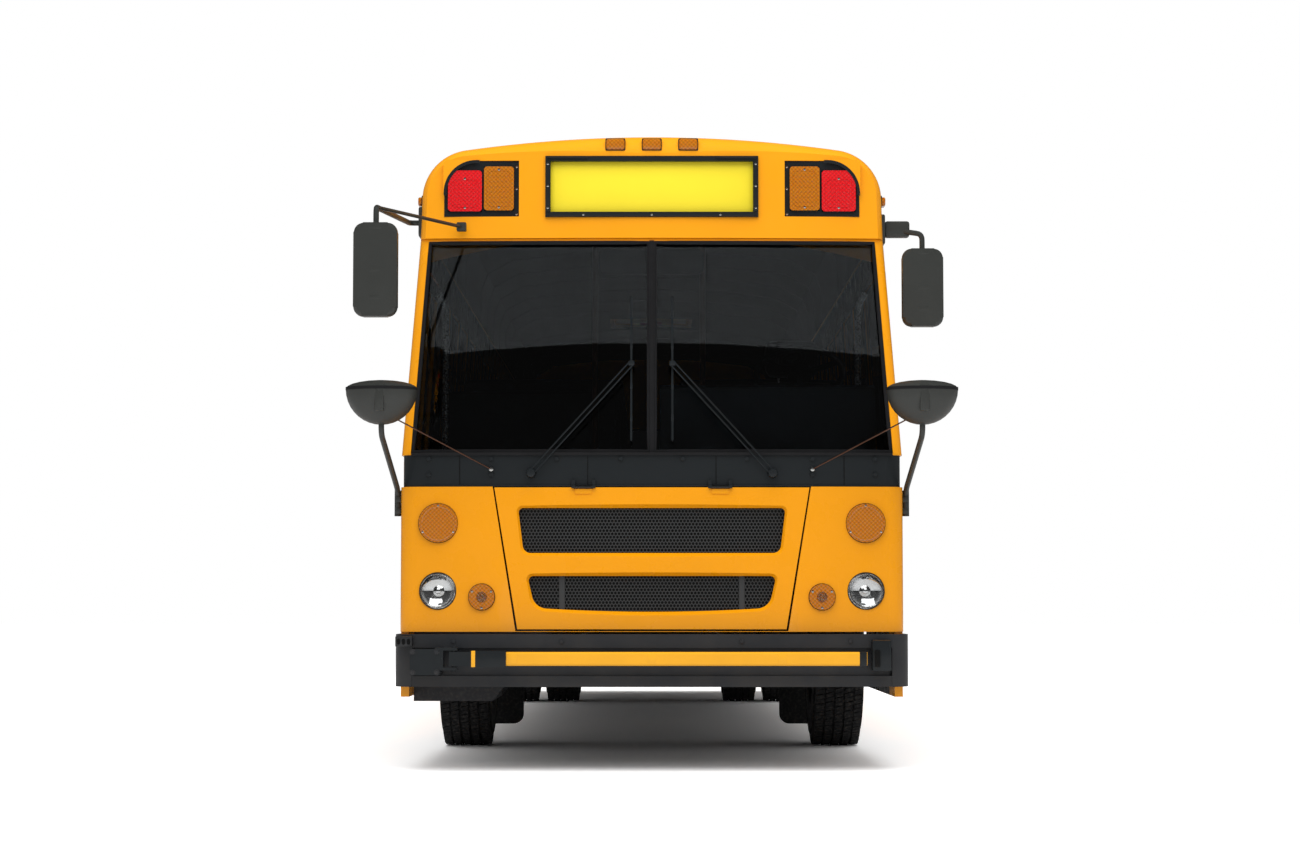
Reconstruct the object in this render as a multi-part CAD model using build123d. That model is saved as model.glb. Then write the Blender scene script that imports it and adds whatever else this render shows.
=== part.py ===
from build123d import *
import math
import os

# School bus with a flat front, rear engine and a double-leaf entrance door. Millimetres, +Z up.
# The bus faces -Y, its right (kerb) side is -X and its left (driver's) side is +X.
# The origin is on the ground, under the middle of the whole box.

os.makedirs("parts", exist_ok=True)

# Driving dimensions: overall
BODY_LENGTH = 12040
BODY_WIDTH = 2438
OVERALL_HEIGHT = 3132
FRONT_OVERHANG = 2450
WHEELBASE = 7000
BUMPER_REACH = 90
BUMPER_PROUD = 15
BUMPER_END = 1150
BUMPER_HEIGHTS = (404, 456, 590, 655)
MIRROR_REACH = 640

# Body shell
WALL = 40
PANEL = 30
SKIRT_BOTTOM = 350
FLOOR_TOP = 1000
FLOOR_THICK = 40
BELT = 1550
GUTTER_HEIGHT = 2612
GUTTER_HALF = 1154
SHOULDER_HALF = 930
SHOULDER_DROP = 66
CORNER_MID_HALF = 1095
CORNER_MID_DROP = 162
CORNER_START_HALF = 1147
CORNER_START_DROP = 302
FRONT_BOW = 34
FRONT_CORNER = 85
FRONT_JOINT = 400
CAP_DEPTH = 560
CAP_EDGE = 110
REAR_CORNER = 90

# Front face
PANEL_BOTTOM = 666
COWL_BOTTOM = 1365
COWL_TOP = 1529
COWL_RECESS = 12
GLASS_SET_BACK = 45
GLASS_RAKE = 250
GLASS_HALF_LOW = 1171
GLASS_HALF_HIGH = 1109
GLASS_SILL = 2
GLASS_HEADER = 14
GLASS_THICK = 8
GLASS_CORNER = 62
DIVIDER_WIDTH = 29
HATCH_HALF_TOP = 761
HATCH_HALF_BOTTOM = 648
HATCH_GAP = 9
HATCH_DROP = 12
GRILLE_UPPER = (1045, 1262)
GRILLE_UPPER_HALF = (619, 646)
GRILLE_UPPER_CORNERS = (38, 22)
GRILLE_LOWER = (781, 934)
GRILLE_LOWER_HALF = (565, 600)
GRILLE_LOWER_CORNERS = (75, 24)
GRILLE_SAG = 19
GRILLE_BEVEL = 26
MESH_THICK = 4

# Wipers
WIPER_X = 583
WIPER_Z = 1430
WIPER_BOSS = 24
WIPER_BLADE_X = 100
WIPER_BLADE = (1585, 2312)
WIPER_JOINT_Z = 1970

# Lamps
TURN_LAMP = (1032, 1189, 94)
HEAD_LAMP = (1032, 862, 88)
SIDE_LAMP = (820, 833, 63)
LAMP_PROUD = 14
LAMP_GAP = 0.4

# Sign and warning lamps on the front cap
SIGN_HALF = 529
SIGN_HEIGHTS = (2715, 3021)
SIGN_FRAME = 26
SIGN_DEPTH = 30
WARNING_PANEL = (660, 1032, 2720, 3000)
WARNING_MARGIN = 34
WARNING_DEPTH = 52
RED_LENS = (844, 1013, 2745, 2950)
AMBER_LENS = (685, 834, 2750, 2970)
LENS_MARGIN = 50
LENS_CORNER = 16
MARKER_SPACING = 181
MARKER_HALF = 43
MARKER_TALL = 50
MARKER_DROP = 28

# Roof hatches
ROOF_HATCH = 600
ROOF_HATCH_RIM = 30
ROOF_HATCH_SEAT = 0.5
ROOF_HATCH_PLACES = (3600, 8700)

# Mirrors: distance from the middle, from the front face, and the two heights
MAIN_MIRROR = {-1: (1277, -600, 2122, 2559), 1: (1347, 350, 2175, 2565)}
MIRROR_ARM_Z = {-1: (2707, 2634), 1: (2670, 2640)}
MAIN_MIRROR_HALF = 102
CROSS_MIRROR = (1274, -330, 1640, 1853)
CROSS_MIRROR_RADII = (170, 115)
CROSS_MIRROR_CAP = 43
CROSS_FOOT = (1237, 1225, 1351)
MIRROR_TUBE = 14

# Hinges
HINGE_SEAT = 10
HINGE_RADIUS = 8
HINGE_PIN = 4.5
HINGE_LENGTH = 80
HINGE_TAB = 34
ENTRY_HINGES = (620, 1040, 1450)
EXIT_HINGES = (1110, 1300, 1500)
HATCH_HINGE_X = 330
HATCH_HINGE_IN = 4

# Side openings
WINDOW_FIRST = 1780
WINDOW_PITCH = 711
WINDOW_COUNT = 14
WINDOW_WIDTH = 640
WINDOW_SILL = 1720
WINDOW_TOP = 2450
PANE = 6
DRIVER_WINDOW = (470, 1340)
DRIVER_SILL = 1560
DOOR_FRONT = 430
DOOR_WIDTH = 820
DOOR_TOP = 2480
DOOR_BOTTOM = 372
DOOR_GAP = 8
EXIT_WINDOW = 6
EXIT_WIDTH = 640
EXIT_BOTTOM = 1010
EXIT_TOP = 2480
ARCH_RADIUS = 620
RAIL_HEIGHTS = (470, 1000, 1370, 1630)
RAIL_TALL = 76
RAIL_PROUD = 14

# Rear
REAR_WINDOW_HALF = 700
REAR_WINDOW_LOW = 1750
REAR_WINDOW_HIGH = 2430
ENGINE_HATCH_HALF = 780
ENGINE_HATCH_LOW = 640
ENGINE_HATCH_HIGH = 1420
LOUVRE_COUNT = 6
LOUVRE_PITCH = 62
LOUVRE_HALF = 520
ENGINE_DECK = 1320
REAR_WARNING_X = (757, 935)
REAR_WARNING_Z = 2520
DECK_START = 10150
BUMPER_WRAP = 260
BUMPER_TOP_REAR = 630

# Stepwell
STEP_RISE = 220
STEP_FIRST = 340
STEP_DEPTHS = (370, 175, 175)
STEP_SHEET = 20

# Crossing arm and stop arm
ARM_HINGE_X = -940
ARM_Z = (506, 572)
ARM_END = 1022
STOP_Y = 1520
STOP_Z = 1180
STOP_HALF = 229
STOP_OUT = 34

# Wheels and axles
TYRE_RADIUS = 525
TYRE_WIDTH = 280
RIM_RADIUS = 286
FRONT_TRACK_HALF = 1040
REAR_OUTER_HALF = 1060
DUAL_SPACING = 335
KINGPIN_HALF = 860
KINGPIN_RADIUS = 22
KINGPIN_EYE = 34
STEER_ARM = 190
SPINDLE_RADIUS = 38
DRUM_RADIUS = 205
RUNNING_GAP = 0.5

# Frame
RAIL_HALF = 430
RAIL_FLANGE = 80
RAIL_WEB = 12
RAIL_LOW = 640
RAIL_HIGH = 890
MEMBER_PLACES = (160, 1500, 3400, 4700, 6000, 7300, 8300, 9890)
BEARER_PLACES = (1450, 3400, 4700, 6000, 7300, 8300)
AXLE_BEAM_HIGH = 480
TOW_EYE_RADIUS = 22
TOW_EYE_BACK = 150
TOW_EYE_DROP = 60
FRONT_SPRING = 1400
REAR_SPRING = 1500
SPRING_ARCH = 70
REAR_SPRING_ARCH = 8
REAR_PAD = 62
AXLE_TUBE_RADIUS = 60
LEAF_THICK = 14
LEAF_WIDTH = 80

WHEEL_BOX_TOP = 1190
FRONT_BOX_INNER = 470
FRONT_BOX_HALF = 660
REAR_BOX_INNER = 520
REAR_BOX_HALF = 640

# Cabin
SEAT_WIDTH = 960
SEAT_DEPTH = 400
SEAT_HEIGHT = 430
SEAT_BACK_HEIGHT = 690
SEAT_BACK_THICK = 95
CUSHION_THICK = 130
SEAT_FIRST = 2330
SEAT_WALL_GAP = 25
SOFT_GAP = 0.3
SEAT_GAP = 0.3
WHEEL_CENTRE = (765, 900, 1990)
WHEEL_TILT = 30

# Places worked out from the driving dimensions
HALF = BODY_WIDTH / 2
FACE = -(BODY_LENGTH + BUMPER_REACH + MIRROR_REACH) / 2 + MIRROR_REACH
TAIL = FACE + BODY_LENGTH
FRONT_AXLE = FACE + FRONT_OVERHANG
REAR_AXLE = FRONT_AXLE + WHEELBASE
STEP_INNER = sum(STEP_DEPTHS)
LEAN = (HALF - GUTTER_HALF) / (GUTTER_HEIGHT - BELT)
GLASS_SLOPE = GLASS_RAKE / (GUTTER_HEIGHT - COWL_TOP)
ENGINE_HALF = RAIL_HALF - RAIL_FLANGE - SEAT_GAP
CAP_FACE = FACE + GLASS_SET_BACK + GLASS_RAKE - 15
ARM_HINGE_Y = FACE - BUMPER_REACH - 60


def block(x, y, z):
    """A box between pairs of coordinates."""
    middle = [(low + high) / 2 for low, high in (x, y, z)]
    size = [abs(high - low) for low, high in (x, y, z)]
    return Pos(*middle) * Box(*size)


def along_x(points, low, high):
    """A prism of a (y, z) outline between two x."""
    plane = Plane(origin=(low, 0, 0), x_dir=(0, 1, 0), z_dir=(1, 0, 0))
    return extrude(plane * make_face(Polyline(*points, close=True)), high - low, dir=(1, 0, 0))


def along_y(points, low, high):
    """A prism of an (x, z) outline between two y."""
    plane = Plane(origin=(0, low, 0), x_dir=(1, 0, 0), z_dir=(0, -1, 0))
    return extrude(plane * make_face(Polyline(*points, close=True)), high - low, dir=(0, 1, 0))


def along_z(points, low, high):
    """A prism of an (x, y) outline between two heights."""
    return extrude(Pos(0, 0, low) * make_face(Polyline(*points, close=True)), high - low, dir=(0, 0, 1))


def rod_x(x, y, z, radius):
    return Pos((x[0] + x[1]) / 2, y, z) * Rot(0, 90, 0) * Cylinder(radius, abs(x[1] - x[0]))


def rod_y(x, y, z, radius):
    return Pos(x, (y[0] + y[1]) / 2, z) * Rot(90, 0, 0) * Cylinder(radius, abs(y[1] - y[0]))


def rod_z(x, y, z, radius):
    return Pos(x, y, (z[0] + z[1]) / 2) * Cylinder(radius, abs(z[1] - z[0]))


def tube_path(points, bend, radius):
    """A round bar along straight runs joined by arcs."""
    path = FilletPolyline(*points, radius=bend) if len(points) > 2 else Polyline(*points)
    start = Plane(origin=path @ 0, z_dir=path % 0)
    return sweep(start * Circle(radius), path=path)


def mirrored(shape):
    return mirror(shape, about=Plane.YZ)


def both(shape):
    """A shape and its mirror image across the bus, as solids of one node."""
    return Compound(children=[*solids_of(shape), *solids_of(mirrored(shape))])


def solids_of(shape):
    return [solid for solid in shape.solids()]


def group(*shapes):
    """Separate solids that share a node."""
    return Compound(children=[solid for shape in shapes for solid in solids_of(shape)])


def side_x(z, inset=0):
    """Half width of the body's side at a height, the sides leaning in above the belt."""
    return HALF - inset - max(0, z - BELT) * LEAN


def side_slab(outer, inner, z_low, z_high, y_low, y_high):
    """The left side's skin between two depths below its outer face."""
    heights = [z_low] + [z for z in (BELT,) if z_low < z < z_high] + [z_high]
    points = [(side_x(z, outer), z) for z in heights] + [(side_x(z, inner), z) for z in reversed(heights)]
    return along_y(points, y_low, y_high)


def plan(half, front, back, bow, corner):
    """Plan of the front: a bowed face between two rounded corners, with straight sides behind."""
    face_arc = ThreePointArc((-half, front + bow), (0, front), (half, front + bow))
    rest = Polyline((half, front + bow), (half, back), (-half, back), (-half, front + bow))
    face = make_face(face_arc + rest)
    return fillet([v for v in face.vertices() if v.Y < back - 1], corner)


def front_shell(inset, thick, z_low, z_high, back):
    """The upright front skin with its corners, between two heights."""
    outer = plan(HALF - inset, FACE + inset, back, FRONT_BOW, FRONT_CORNER - inset)
    inner = plan(HALF - inset - thick, FACE + inset + thick, back + 1, FRONT_BOW,
                 FRONT_CORNER - inset - thick)
    return extrude(Pos(0, 0, z_low) * outer, z_high - z_low) - extrude(Pos(0, 0, z_low) * inner,
                                                                       z_high - z_low)


def glass_y(z, inset=0):
    """The middle of the raked windshield's face at a height."""
    return FACE + GLASS_SET_BACK + inset + (z - COWL_TOP) * GLASS_SLOPE


def raked_solid(inset, z_low, z_high, back):
    """The block behind the raked upper front: its front and sides are the windshield's own surfaces."""
    sections = [
        Pos(0, 0, z) * plan(side_x(z, inset), glass_y(z, inset), back, FRONT_BOW, GLASS_CORNER - inset)
        for z in (z_low, z_high)
    ]
    return loft(sections, ruled=True)


def raked_shell(outer, inner, z_low, z_high, back):
    behind = back + 100
    shell = raked_solid(outer, z_low, z_high, behind) - raked_solid(inner, z_low - 1, z_high + 1,
                                                                    behind + 1)
    return shell - block((-HALF, HALF), (back, behind + 10), (z_low - 5, z_high + 5))


def roof_outline(inset, bottom):
    """The roof's cross-section: a low crown between two rounded shoulders."""
    top = OVERALL_HEIGHT - inset
    gutter = GUTTER_HALF - inset
    start = (CORNER_START_HALF - inset, OVERALL_HEIGHT - CORNER_START_DROP)
    mid = (CORNER_MID_HALF - inset * 0.79, OVERALL_HEIGHT - CORNER_MID_DROP - inset * 0.61)
    shoulder = (SHOULDER_HALF - inset * 0.14, top - SHOULDER_DROP)
    right = Line((gutter, bottom), start) + ThreePointArc(start, mid, shoulder)
    crown = ThreePointArc(shoulder, (0, top), (-shoulder[0], shoulder[1]))
    left = ThreePointArc((-shoulder[0], shoulder[1]), (-mid[0], mid[1]), (-start[0], start[1]))
    left = left + Line((-start[0], start[1]), (-gutter, bottom))
    return make_face(right + crown + left + Line((-gutter, bottom), (gutter, bottom)))


def upright(face, y):
    """An (x, z) face stood up at a place along the bus."""
    return Plane(origin=(0, y, 0), x_dir=(1, 0, 0), z_dir=(0, -1, 0)) * face


def cap_block(inset, face_y, depth, forward):
    """A roof end cap: sections that grow along a rounded edge and then run straight."""
    steps = (0, 0.15, 0.5, 1)
    edge = CAP_EDGE - inset * 0.5
    sections = []
    for step in steps:
        shrink = edge * (1 - math.sqrt(1 - (1 - step) ** 2))
        y = face_y + forward * (inset + edge * step)
        sections.append(upright(roof_outline(inset + shrink * 0.9, GUTTER_HEIGHT), y))
    nose = loft(sections)
    start = face_y + forward * (inset + edge)
    run = depth - inset - edge
    body = extrude(upright(roof_outline(inset, GUTTER_HEIGHT), start), run, dir=(0, forward, 0))
    return nose + body


def butt_hinge(place, sunk=0):
    """A hinge along local z on faces a seat's depth below its axis: the fixed half lies towards -y."""
    seat = HINGE_SEAT
    half = HINGE_LENGTH / 2
    end = half + 18

    def plate(y, low, high, deep):
        return block((-seat - deep, -seat + 6), y, (low, high))
    moving = Cylinder(HINGE_RADIUS, HINGE_LENGTH) + plate((0, HINGE_TAB), -half, half, 0)
    moving = moving - Cylinder(HINGE_PIN + RUNNING_GAP, HINGE_LENGTH + 2)
    fixed = Cylinder(HINGE_PIN, 2 * end)
    for side in (-1, 1):
        low, high = sorted((side * (half + 1), side * end))
        fixed = fixed + Pos(0, 0, (low + high) / 2) * Cylinder(HINGE_RADIUS, high - low)
        fixed = fixed + plate((-HINGE_TAB, 0), low, high, sunk)
    return place * fixed, place * moving


def side_hinges(y, toward, heights):
    """Hinges on the left side's outer face; the door lies towards +y or -y of them."""
    pairs = []
    for z in heights:
        place = Plane(origin=(HALF + HINGE_SEAT, y, z), x_dir=(1, 0, 0), z_dir=(0, 0, toward))
        pairs.append(butt_hinge(place))
    return [pair[0] for pair in pairs], [pair[1] for pair in pairs]


def fuse(shape, others):
    for other in others:
        shape = shape + other
    return shape


def write(shape, node):
    export_step(shape, f"parts/{node}.step")


# Body shell
def windows_along(first, last):
    return [FACE + WINDOW_FIRST + i * WINDOW_PITCH for i in range(first, last)]


def wheel_arch(y):
    """The opening over a wheel, round at the top and straight down to the skirt's edge."""
    low = SKIRT_BOTTOM - 10
    cut = rod_x((0, HALF + 10), y, TYRE_RADIUS, ARCH_RADIUS)
    below = block((0, HALF + 10), (y - ARCH_RADIUS, y + ARCH_RADIUS), (low, TYRE_RADIUS))
    return cut + below


def plain_side():
    """The left side before its doors: skin, window openings and wheel arches."""
    wall = side_slab(0, WALL, SKIRT_BOTTOM, GUTTER_HEIGHT, FACE + FRONT_JOINT, TAIL - REAR_CORNER - WALL)
    return wall - wheel_arch(FRONT_AXLE) - wheel_arch(REAR_AXLE)


def window_hole(middle, width, sill, top):
    return block((HALF - 300, HALF + 10), (middle - width / 2, middle + width / 2), (sill, top))


def pane(middle, width, sill, top):
    depth = WALL / 2
    return side_slab(depth - PANE / 2, depth + PANE / 2, sill, top, middle - width / 2, middle + width / 2)


def side_walls():
    """Both sides, with the driver's window, the emergency doorway and the entrance doorway cut."""
    left = plain_side()
    right = plain_side()
    for i, middle in enumerate(windows_along(0, WINDOW_COUNT)):
        hole = window_hole(middle, WINDOW_WIDTH, WINDOW_SILL, WINDOW_TOP)
        right = right - hole
        if i != EXIT_WINDOW:
            left = left - hole
    driver_middle = FACE + sum(DRIVER_WINDOW) / 2
    driver_width = DRIVER_WINDOW[1] - DRIVER_WINDOW[0]
    left = left - window_hole(driver_middle, driver_width, DRIVER_SILL, WINDOW_TOP)
    exit_y = windows_along(EXIT_WINDOW, EXIT_WINDOW + 1)[0]
    left = left - block((HALF - 300, HALF + 10), (exit_y - EXIT_WIDTH / 2, exit_y + EXIT_WIDTH / 2),
                        (EXIT_BOTTOM, EXIT_TOP))
    door = (FACE + DOOR_FRONT, FACE + DOOR_FRONT + DOOR_WIDTH)
    right = right - block((HALF - 300, HALF + 10), door, (SKIRT_BOTTOM - 10, DOOR_TOP))
    left = fuse(left, exit_hinges()[0])
    right = fuse(right, front_leaf_hinges()[0] + rear_leaf_hinges()[0])
    write(left, "side_wall_left")
    write(mirrored(right), "side_wall_right")


def exit_hinges():
    middle = windows_along(EXIT_WINDOW, EXIT_WINDOW + 1)[0]
    return side_hinges(middle - EXIT_WIDTH / 2 + DOOR_GAP / 2, 1, EXIT_HINGES)


def front_leaf_hinges():
    return side_hinges(FACE + DOOR_FRONT + DOOR_GAP / 2, 1, ENTRY_HINGES)


def rear_leaf_hinges():
    return side_hinges(FACE + DOOR_FRONT + DOOR_WIDTH - DOOR_GAP / 2, -1, ENTRY_HINGES)


def side_glass():
    left = [pane(FACE + sum(DRIVER_WINDOW) / 2, DRIVER_WINDOW[1] - DRIVER_WINDOW[0], DRIVER_SILL,
                 WINDOW_TOP)]
    right = []
    for i, middle in enumerate(windows_along(0, WINDOW_COUNT)):
        glass = pane(middle, WINDOW_WIDTH, WINDOW_SILL, WINDOW_TOP)
        right.append(glass)
        if i != EXIT_WINDOW:
            left.append(glass)
    rear = block((-REAR_WINDOW_HALF, REAR_WINDOW_HALF),
                 (TAIL - WALL / 2 - PANE / 2, TAIL - WALL / 2 + PANE / 2),
                 (REAR_WINDOW_LOW, REAR_WINDOW_HIGH))
    write(group(*left, *[mirrored(glass) for glass in right], rear), "body_glass")


def rub_rails():
    """Pressed rails along both sides, broken at the arches and doors."""
    breaks = [(FRONT_AXLE - ARCH_RADIUS - 30, FRONT_AXLE + ARCH_RADIUS + 30),
              (REAR_AXLE - ARCH_RADIUS - 30, REAR_AXLE + ARCH_RADIUS + 30)]
    exit_y = windows_along(EXIT_WINDOW, EXIT_WINDOW + 1)[0]
    front = FACE + FRONT_JOINT + 40
    back = TAIL - REAR_CORNER - WALL
    rails = []
    for keep_left in (True, False):
        for z in RAIL_HEIGHTS:
            end = TAIL - BUMPER_WRAP - 20 if z < BUMPER_TOP_REAR + 50 else back
            rail = side_slab(-RAIL_PROUD, 0, z - RAIL_TALL / 2, z + RAIL_TALL / 2, front, end)
            cuts = list(breaks) if z < TYRE_RADIUS + ARCH_RADIUS else []
            if keep_left and z + RAIL_TALL / 2 > EXIT_BOTTOM:
                cuts.append((exit_y - EXIT_WIDTH / 2 - 40, exit_y + EXIT_WIDTH / 2 + 40))
            if not keep_left:
                cuts.append((front - 100, FACE + DOOR_FRONT + DOOR_WIDTH + 60))
            if keep_left and z > 1450:
                cuts.append((front - 100, FACE + DRIVER_WINDOW[1] + 40))
            for low, high in cuts:
                rail = rail - block((HALF - 100, HALF + 100), (low, high), (z - 100, z + 100))
            rails.append(rail if keep_left else mirrored(rail))
    write(group(*rails), "rub_rails")


def roof():
    """The roof with its moulded rear end, and an opening under each hatch."""
    length = TAIL - FACE - GLASS_SET_BACK - GLASS_RAKE - CAP_DEPTH
    shell = cap_block(0, TAIL, length, -1) - cap_block(WALL, TAIL, length + 5, -1)
    for y in hatch_places():
        half = ROOF_HATCH / 2
        shell = shell - block((-half, half), (y - half, y + half),
                              (OVERALL_HEIGHT - 200, OVERALL_HEIGHT + 20))
        shell = fuse(shell, [pair[0] for pair in roof_hatch_hinges(y)])
    write(shell, "roof")


def hatch_places():
    return [FACE + place for place in ROOF_HATCH_PLACES]


def roof_hatch_hinges(y):
    """Hinges on the roof ahead of a hatch."""
    edge = y - ROOF_HATCH / 2 - ROOF_HATCH_RIM - HINGE_RADIUS - 2
    axis_z = OVERALL_HEIGHT + ROOF_HATCH_SEAT + 1 + HINGE_SEAT
    places = [Plane(origin=(x, edge, axis_z), x_dir=(0, 0, 1), z_dir=(-1, 0, 0))
              for x in (-ROOF_HATCH / 3, ROOF_HATCH / 3)]
    return [butt_hinge(place, 18) for place in places]


def roof_hatches():
    """Two domed lids that rest over the roof's openings."""
    for node, y in zip(("roof_hatch_front", "roof_hatch_rear"), hatch_places()):
        half = ROOF_HATCH / 2 + ROOF_HATCH_RIM
        low = OVERALL_HEIGHT + ROOF_HATCH_SEAT
        lid = block((-half, half), (y - half, y + half), (low, low + 22))
        plug = ROOF_HATCH / 2 - 12
        lid = lid + block((-plug, plug), (y - plug, y + plug), (low - 30, low + 5))
        write(fuse(lid, [pair[1] for pair in roof_hatch_hinges(y)]), node)


def warning_block(corners, shrink, margin, front, back):
    """A left-hand block behind the cap's face whose outer top corner follows the roof's shoulder."""
    x_low, x_high, z_low, z_high = corners
    shape = block((x_low + shrink, x_high - shrink), (CAP_FACE + front, CAP_FACE + back),
                  (z_low + shrink, z_high - shrink))
    outline = upright(roof_outline(margin + shrink, GUTTER_HEIGHT), CAP_FACE + front)
    return shape & extrude(outline, back - front, dir=(0, 1, 0))


def front_cap():
    """Moulded cap over the windshield, hollow, with beds for the sign and the warning lamps."""
    depth = GLASS_SET_BACK + GLASS_RAKE + CAP_DEPTH - (CAP_FACE - FACE)
    outer = cap_block(0, CAP_FACE, depth, 1)
    inner = cap_block(WALL, CAP_FACE, depth + 5, 1)
    bow = extrude(Pos(0, 0, GUTTER_HEIGHT - 10) * plan(HALF + 200, CAP_FACE, CAP_FACE + 2000,
                                                       FRONT_BOW * 1.5, 5), 600)
    heights = (GUTTER_HEIGHT - 100, OVERALL_HEIGHT + 100)
    face_wall = block((-BODY_WIDTH, BODY_WIDTH), (CAP_FACE - 100, CAP_FACE + 75), heights)
    cap = (outer & bow) - (inner - face_wall)
    bed = warning_block(WARNING_PANEL, 0, WARNING_MARGIN, -20, WARNING_DEPTH)
    cap = cap - bed - mirrored(bed)
    cap = cap - block((-SIGN_HALF, SIGN_HALF), (CAP_FACE - 20, CAP_FACE + SIGN_DEPTH), SIGN_HEIGHTS)
    return cap


def front_panel():
    """The lower front skin and its hatch, cut from one bowed shell with an even gap between them."""
    shell = front_shell(0, PANEL, PANEL_BOTTOM, COWL_BOTTOM, FACE + FRONT_JOINT)
    top = COWL_BOTTOM - 4
    bottom = PANEL_BOTTOM + HATCH_DROP
    depth = (FACE - 50, FACE + 120)
    hatch_outline = [(-HATCH_HALF_TOP, top), (HATCH_HALF_TOP, top), (HATCH_HALF_BOTTOM, bottom),
                     (-HATCH_HALF_BOTTOM, bottom)]
    gap = HATCH_GAP
    opening = [(-HATCH_HALF_TOP - gap, top + 10), (HATCH_HALF_TOP + gap, top + 10),
               (HATCH_HALF_BOTTOM + gap, bottom - gap), (-HATCH_HALF_BOTTOM - gap, bottom - gap)]
    panel = shell - along_y(opening, *depth)
    for x, z, radius in (TURN_LAMP, HEAD_LAMP, SIDE_LAMP):
        for side in (-1, 1):
            panel = panel - rod_y(side * x, depth, z, radius)
    returns = block((HALF - WALL, HALF), (FACE + FRONT_CORNER + 60, FACE + FRONT_JOINT),
                    (SKIRT_BOTTOM, PANEL_BOTTOM))
    panel = panel + returns + mirrored(returns)
    write(panel, "front_panel")

    hatch = shell & along_y(hatch_outline, *depth)
    meshes = []
    for grille in (upper_grille, lower_grille):
        hatch = hatch - extrude(upright(grille(0), depth[0]), depth[1] - depth[0], dir=(0, 1, 0))
        hatch = hatch - loft([upright(grille(GRILLE_BEVEL), FACE - 12), upright(grille(0), FACE + 24)])
        mesh = front_shell(PANEL + 1, MESH_THICK, GRILLE_LOWER[0] - 50, GRILLE_UPPER[1] + 20,
                           FACE + FRONT_JOINT)
        behind = extrude(upright(grille(20), depth[0]), depth[1] - depth[0], dir=(0, 1, 0))
        meshes.append(mesh & behind)
    hatch = fuse(hatch, [pair[1] for pair in front_hatch_hinges()])
    write(hatch, "front_hatch")
    write(group(*meshes), "hatch_mesh")


def upper_grille(grow):
    low, high = GRILLE_UPPER[0] - grow, GRILLE_UPPER[1] + grow
    half_low, half_high = [half + grow for half in GRILLE_UPPER_HALF]
    bottom = Line((-half_low, low), (half_low, low))
    return grille_face(bottom, half_low, half_high, low, high, GRILLE_UPPER_CORNERS, grow)


def lower_grille(grow):
    """The lower opening's outline, with its sagging lower edge."""
    low, high = GRILLE_LOWER[0] - grow, GRILLE_LOWER[1] + grow
    half_low, half_high = [half + grow for half in GRILLE_LOWER_HALF]
    bottom = ThreePointArc((-half_low, low), (0, low - GRILLE_SAG), (half_low, low))
    return grille_face(bottom, half_low, half_high, low, high, GRILLE_LOWER_CORNERS, grow)


def grille_face(bottom, half_low, half_high, low, high, corners, grow):
    rest = Polyline((half_low, low), (half_high, high), (-half_high, high), (-half_low, low))
    face = make_face(bottom + rest)
    middle = (low + high) / 2
    face = fillet([v for v in face.vertices() if v.Y < middle], corners[0] + grow / 2)
    return fillet([v for v in face.vertices() if abs(v.Y - high) < 1], corners[1] + grow / 2)


def front_hatch_hinges():
    """Hinges in the line between the cowl and the hatch."""
    places = [Plane(origin=(x, FACE + HATCH_HINGE_IN - HINGE_SEAT, COWL_BOTTOM - 1), x_dir=(0, -1, 0),
                    z_dir=(1, 0, 0))
              for x in (-HATCH_HINGE_X, HATCH_HINGE_X)]
    return [butt_hinge(place, 20) for place in places]


def cowl():
    """Dark band under the windshield, set back from the panel below."""
    band = front_shell(COWL_RECESS, PANEL, COWL_BOTTOM + 1, COWL_TOP - 10, FACE + FRONT_JOINT)
    shelf = plan(HALF - COWL_RECESS - PANEL, FACE + COWL_RECESS + PANEL, FACE + FRONT_JOINT - 50, FRONT_BOW,
                 20)
    band = band + extrude(Pos(0, 0, COWL_TOP - 40) * shelf, 30)
    for side in (-1, 1):
        band = band - rod_y(side * WIPER_X, (FACE - 50, FACE + 150), WIPER_Z, WIPER_BOSS + 0.5)
    band = fuse(band, [pair[0] for pair in front_hatch_hinges()])
    write(band, "cowl")


def windshield_frame():
    """Corner pillars, sill and header around the windshield."""
    back = FACE + FRONT_JOINT
    shell = raked_shell(0, WALL, COWL_TOP - 9, GUTTER_HEIGHT - 1, back)
    low = COWL_TOP + GLASS_SILL
    high = GUTTER_HEIGHT - GLASS_HEADER
    opening = [(-GLASS_HALF_LOW, low), (GLASS_HALF_LOW, low), (GLASS_HALF_HIGH, high),
               (-GLASS_HALF_HIGH, high)]
    reach = (FACE - 50, FACE + GLASS_SET_BACK + GLASS_RAKE + FRONT_BOW + 12)
    frame = shell - along_y(opening, *reach)
    top = GUTTER_HEIGHT - 2
    post = along_x([(glass_y(COWL_TOP), COWL_TOP), (glass_y(COWL_TOP, WALL), COWL_TOP),
                    (glass_y(top, WALL), top),
                    (glass_y(top), top)], -DIVIDER_WIDTH / 2, DIVIDER_WIDTH / 2)
    write(frame + post, "windshield_frame")


def windshield():
    """Two raked panes, each between the centre post and a corner pillar."""
    skin = raked_shell(WALL / 2 - GLASS_THICK / 2, WALL / 2 + GLASS_THICK / 2, COWL_TOP - 9,
                       GUTTER_HEIGHT - 1,
                       FACE + FRONT_JOINT)
    low = COWL_TOP + GLASS_SILL + 1
    high = GUTTER_HEIGHT - GLASS_HEADER - 1
    half_post = DIVIDER_WIDTH / 2 + 0.5
    reach = (FACE - 50, FACE + GLASS_SET_BACK + GLASS_RAKE + FRONT_BOW + 10)
    left = skin & along_y([(half_post, low), (GLASS_HALF_LOW - 1, low), (GLASS_HALF_HIGH - 1, high),
                           (half_post, high)],
                          *reach)
    write(both(left), "windshield")


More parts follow.
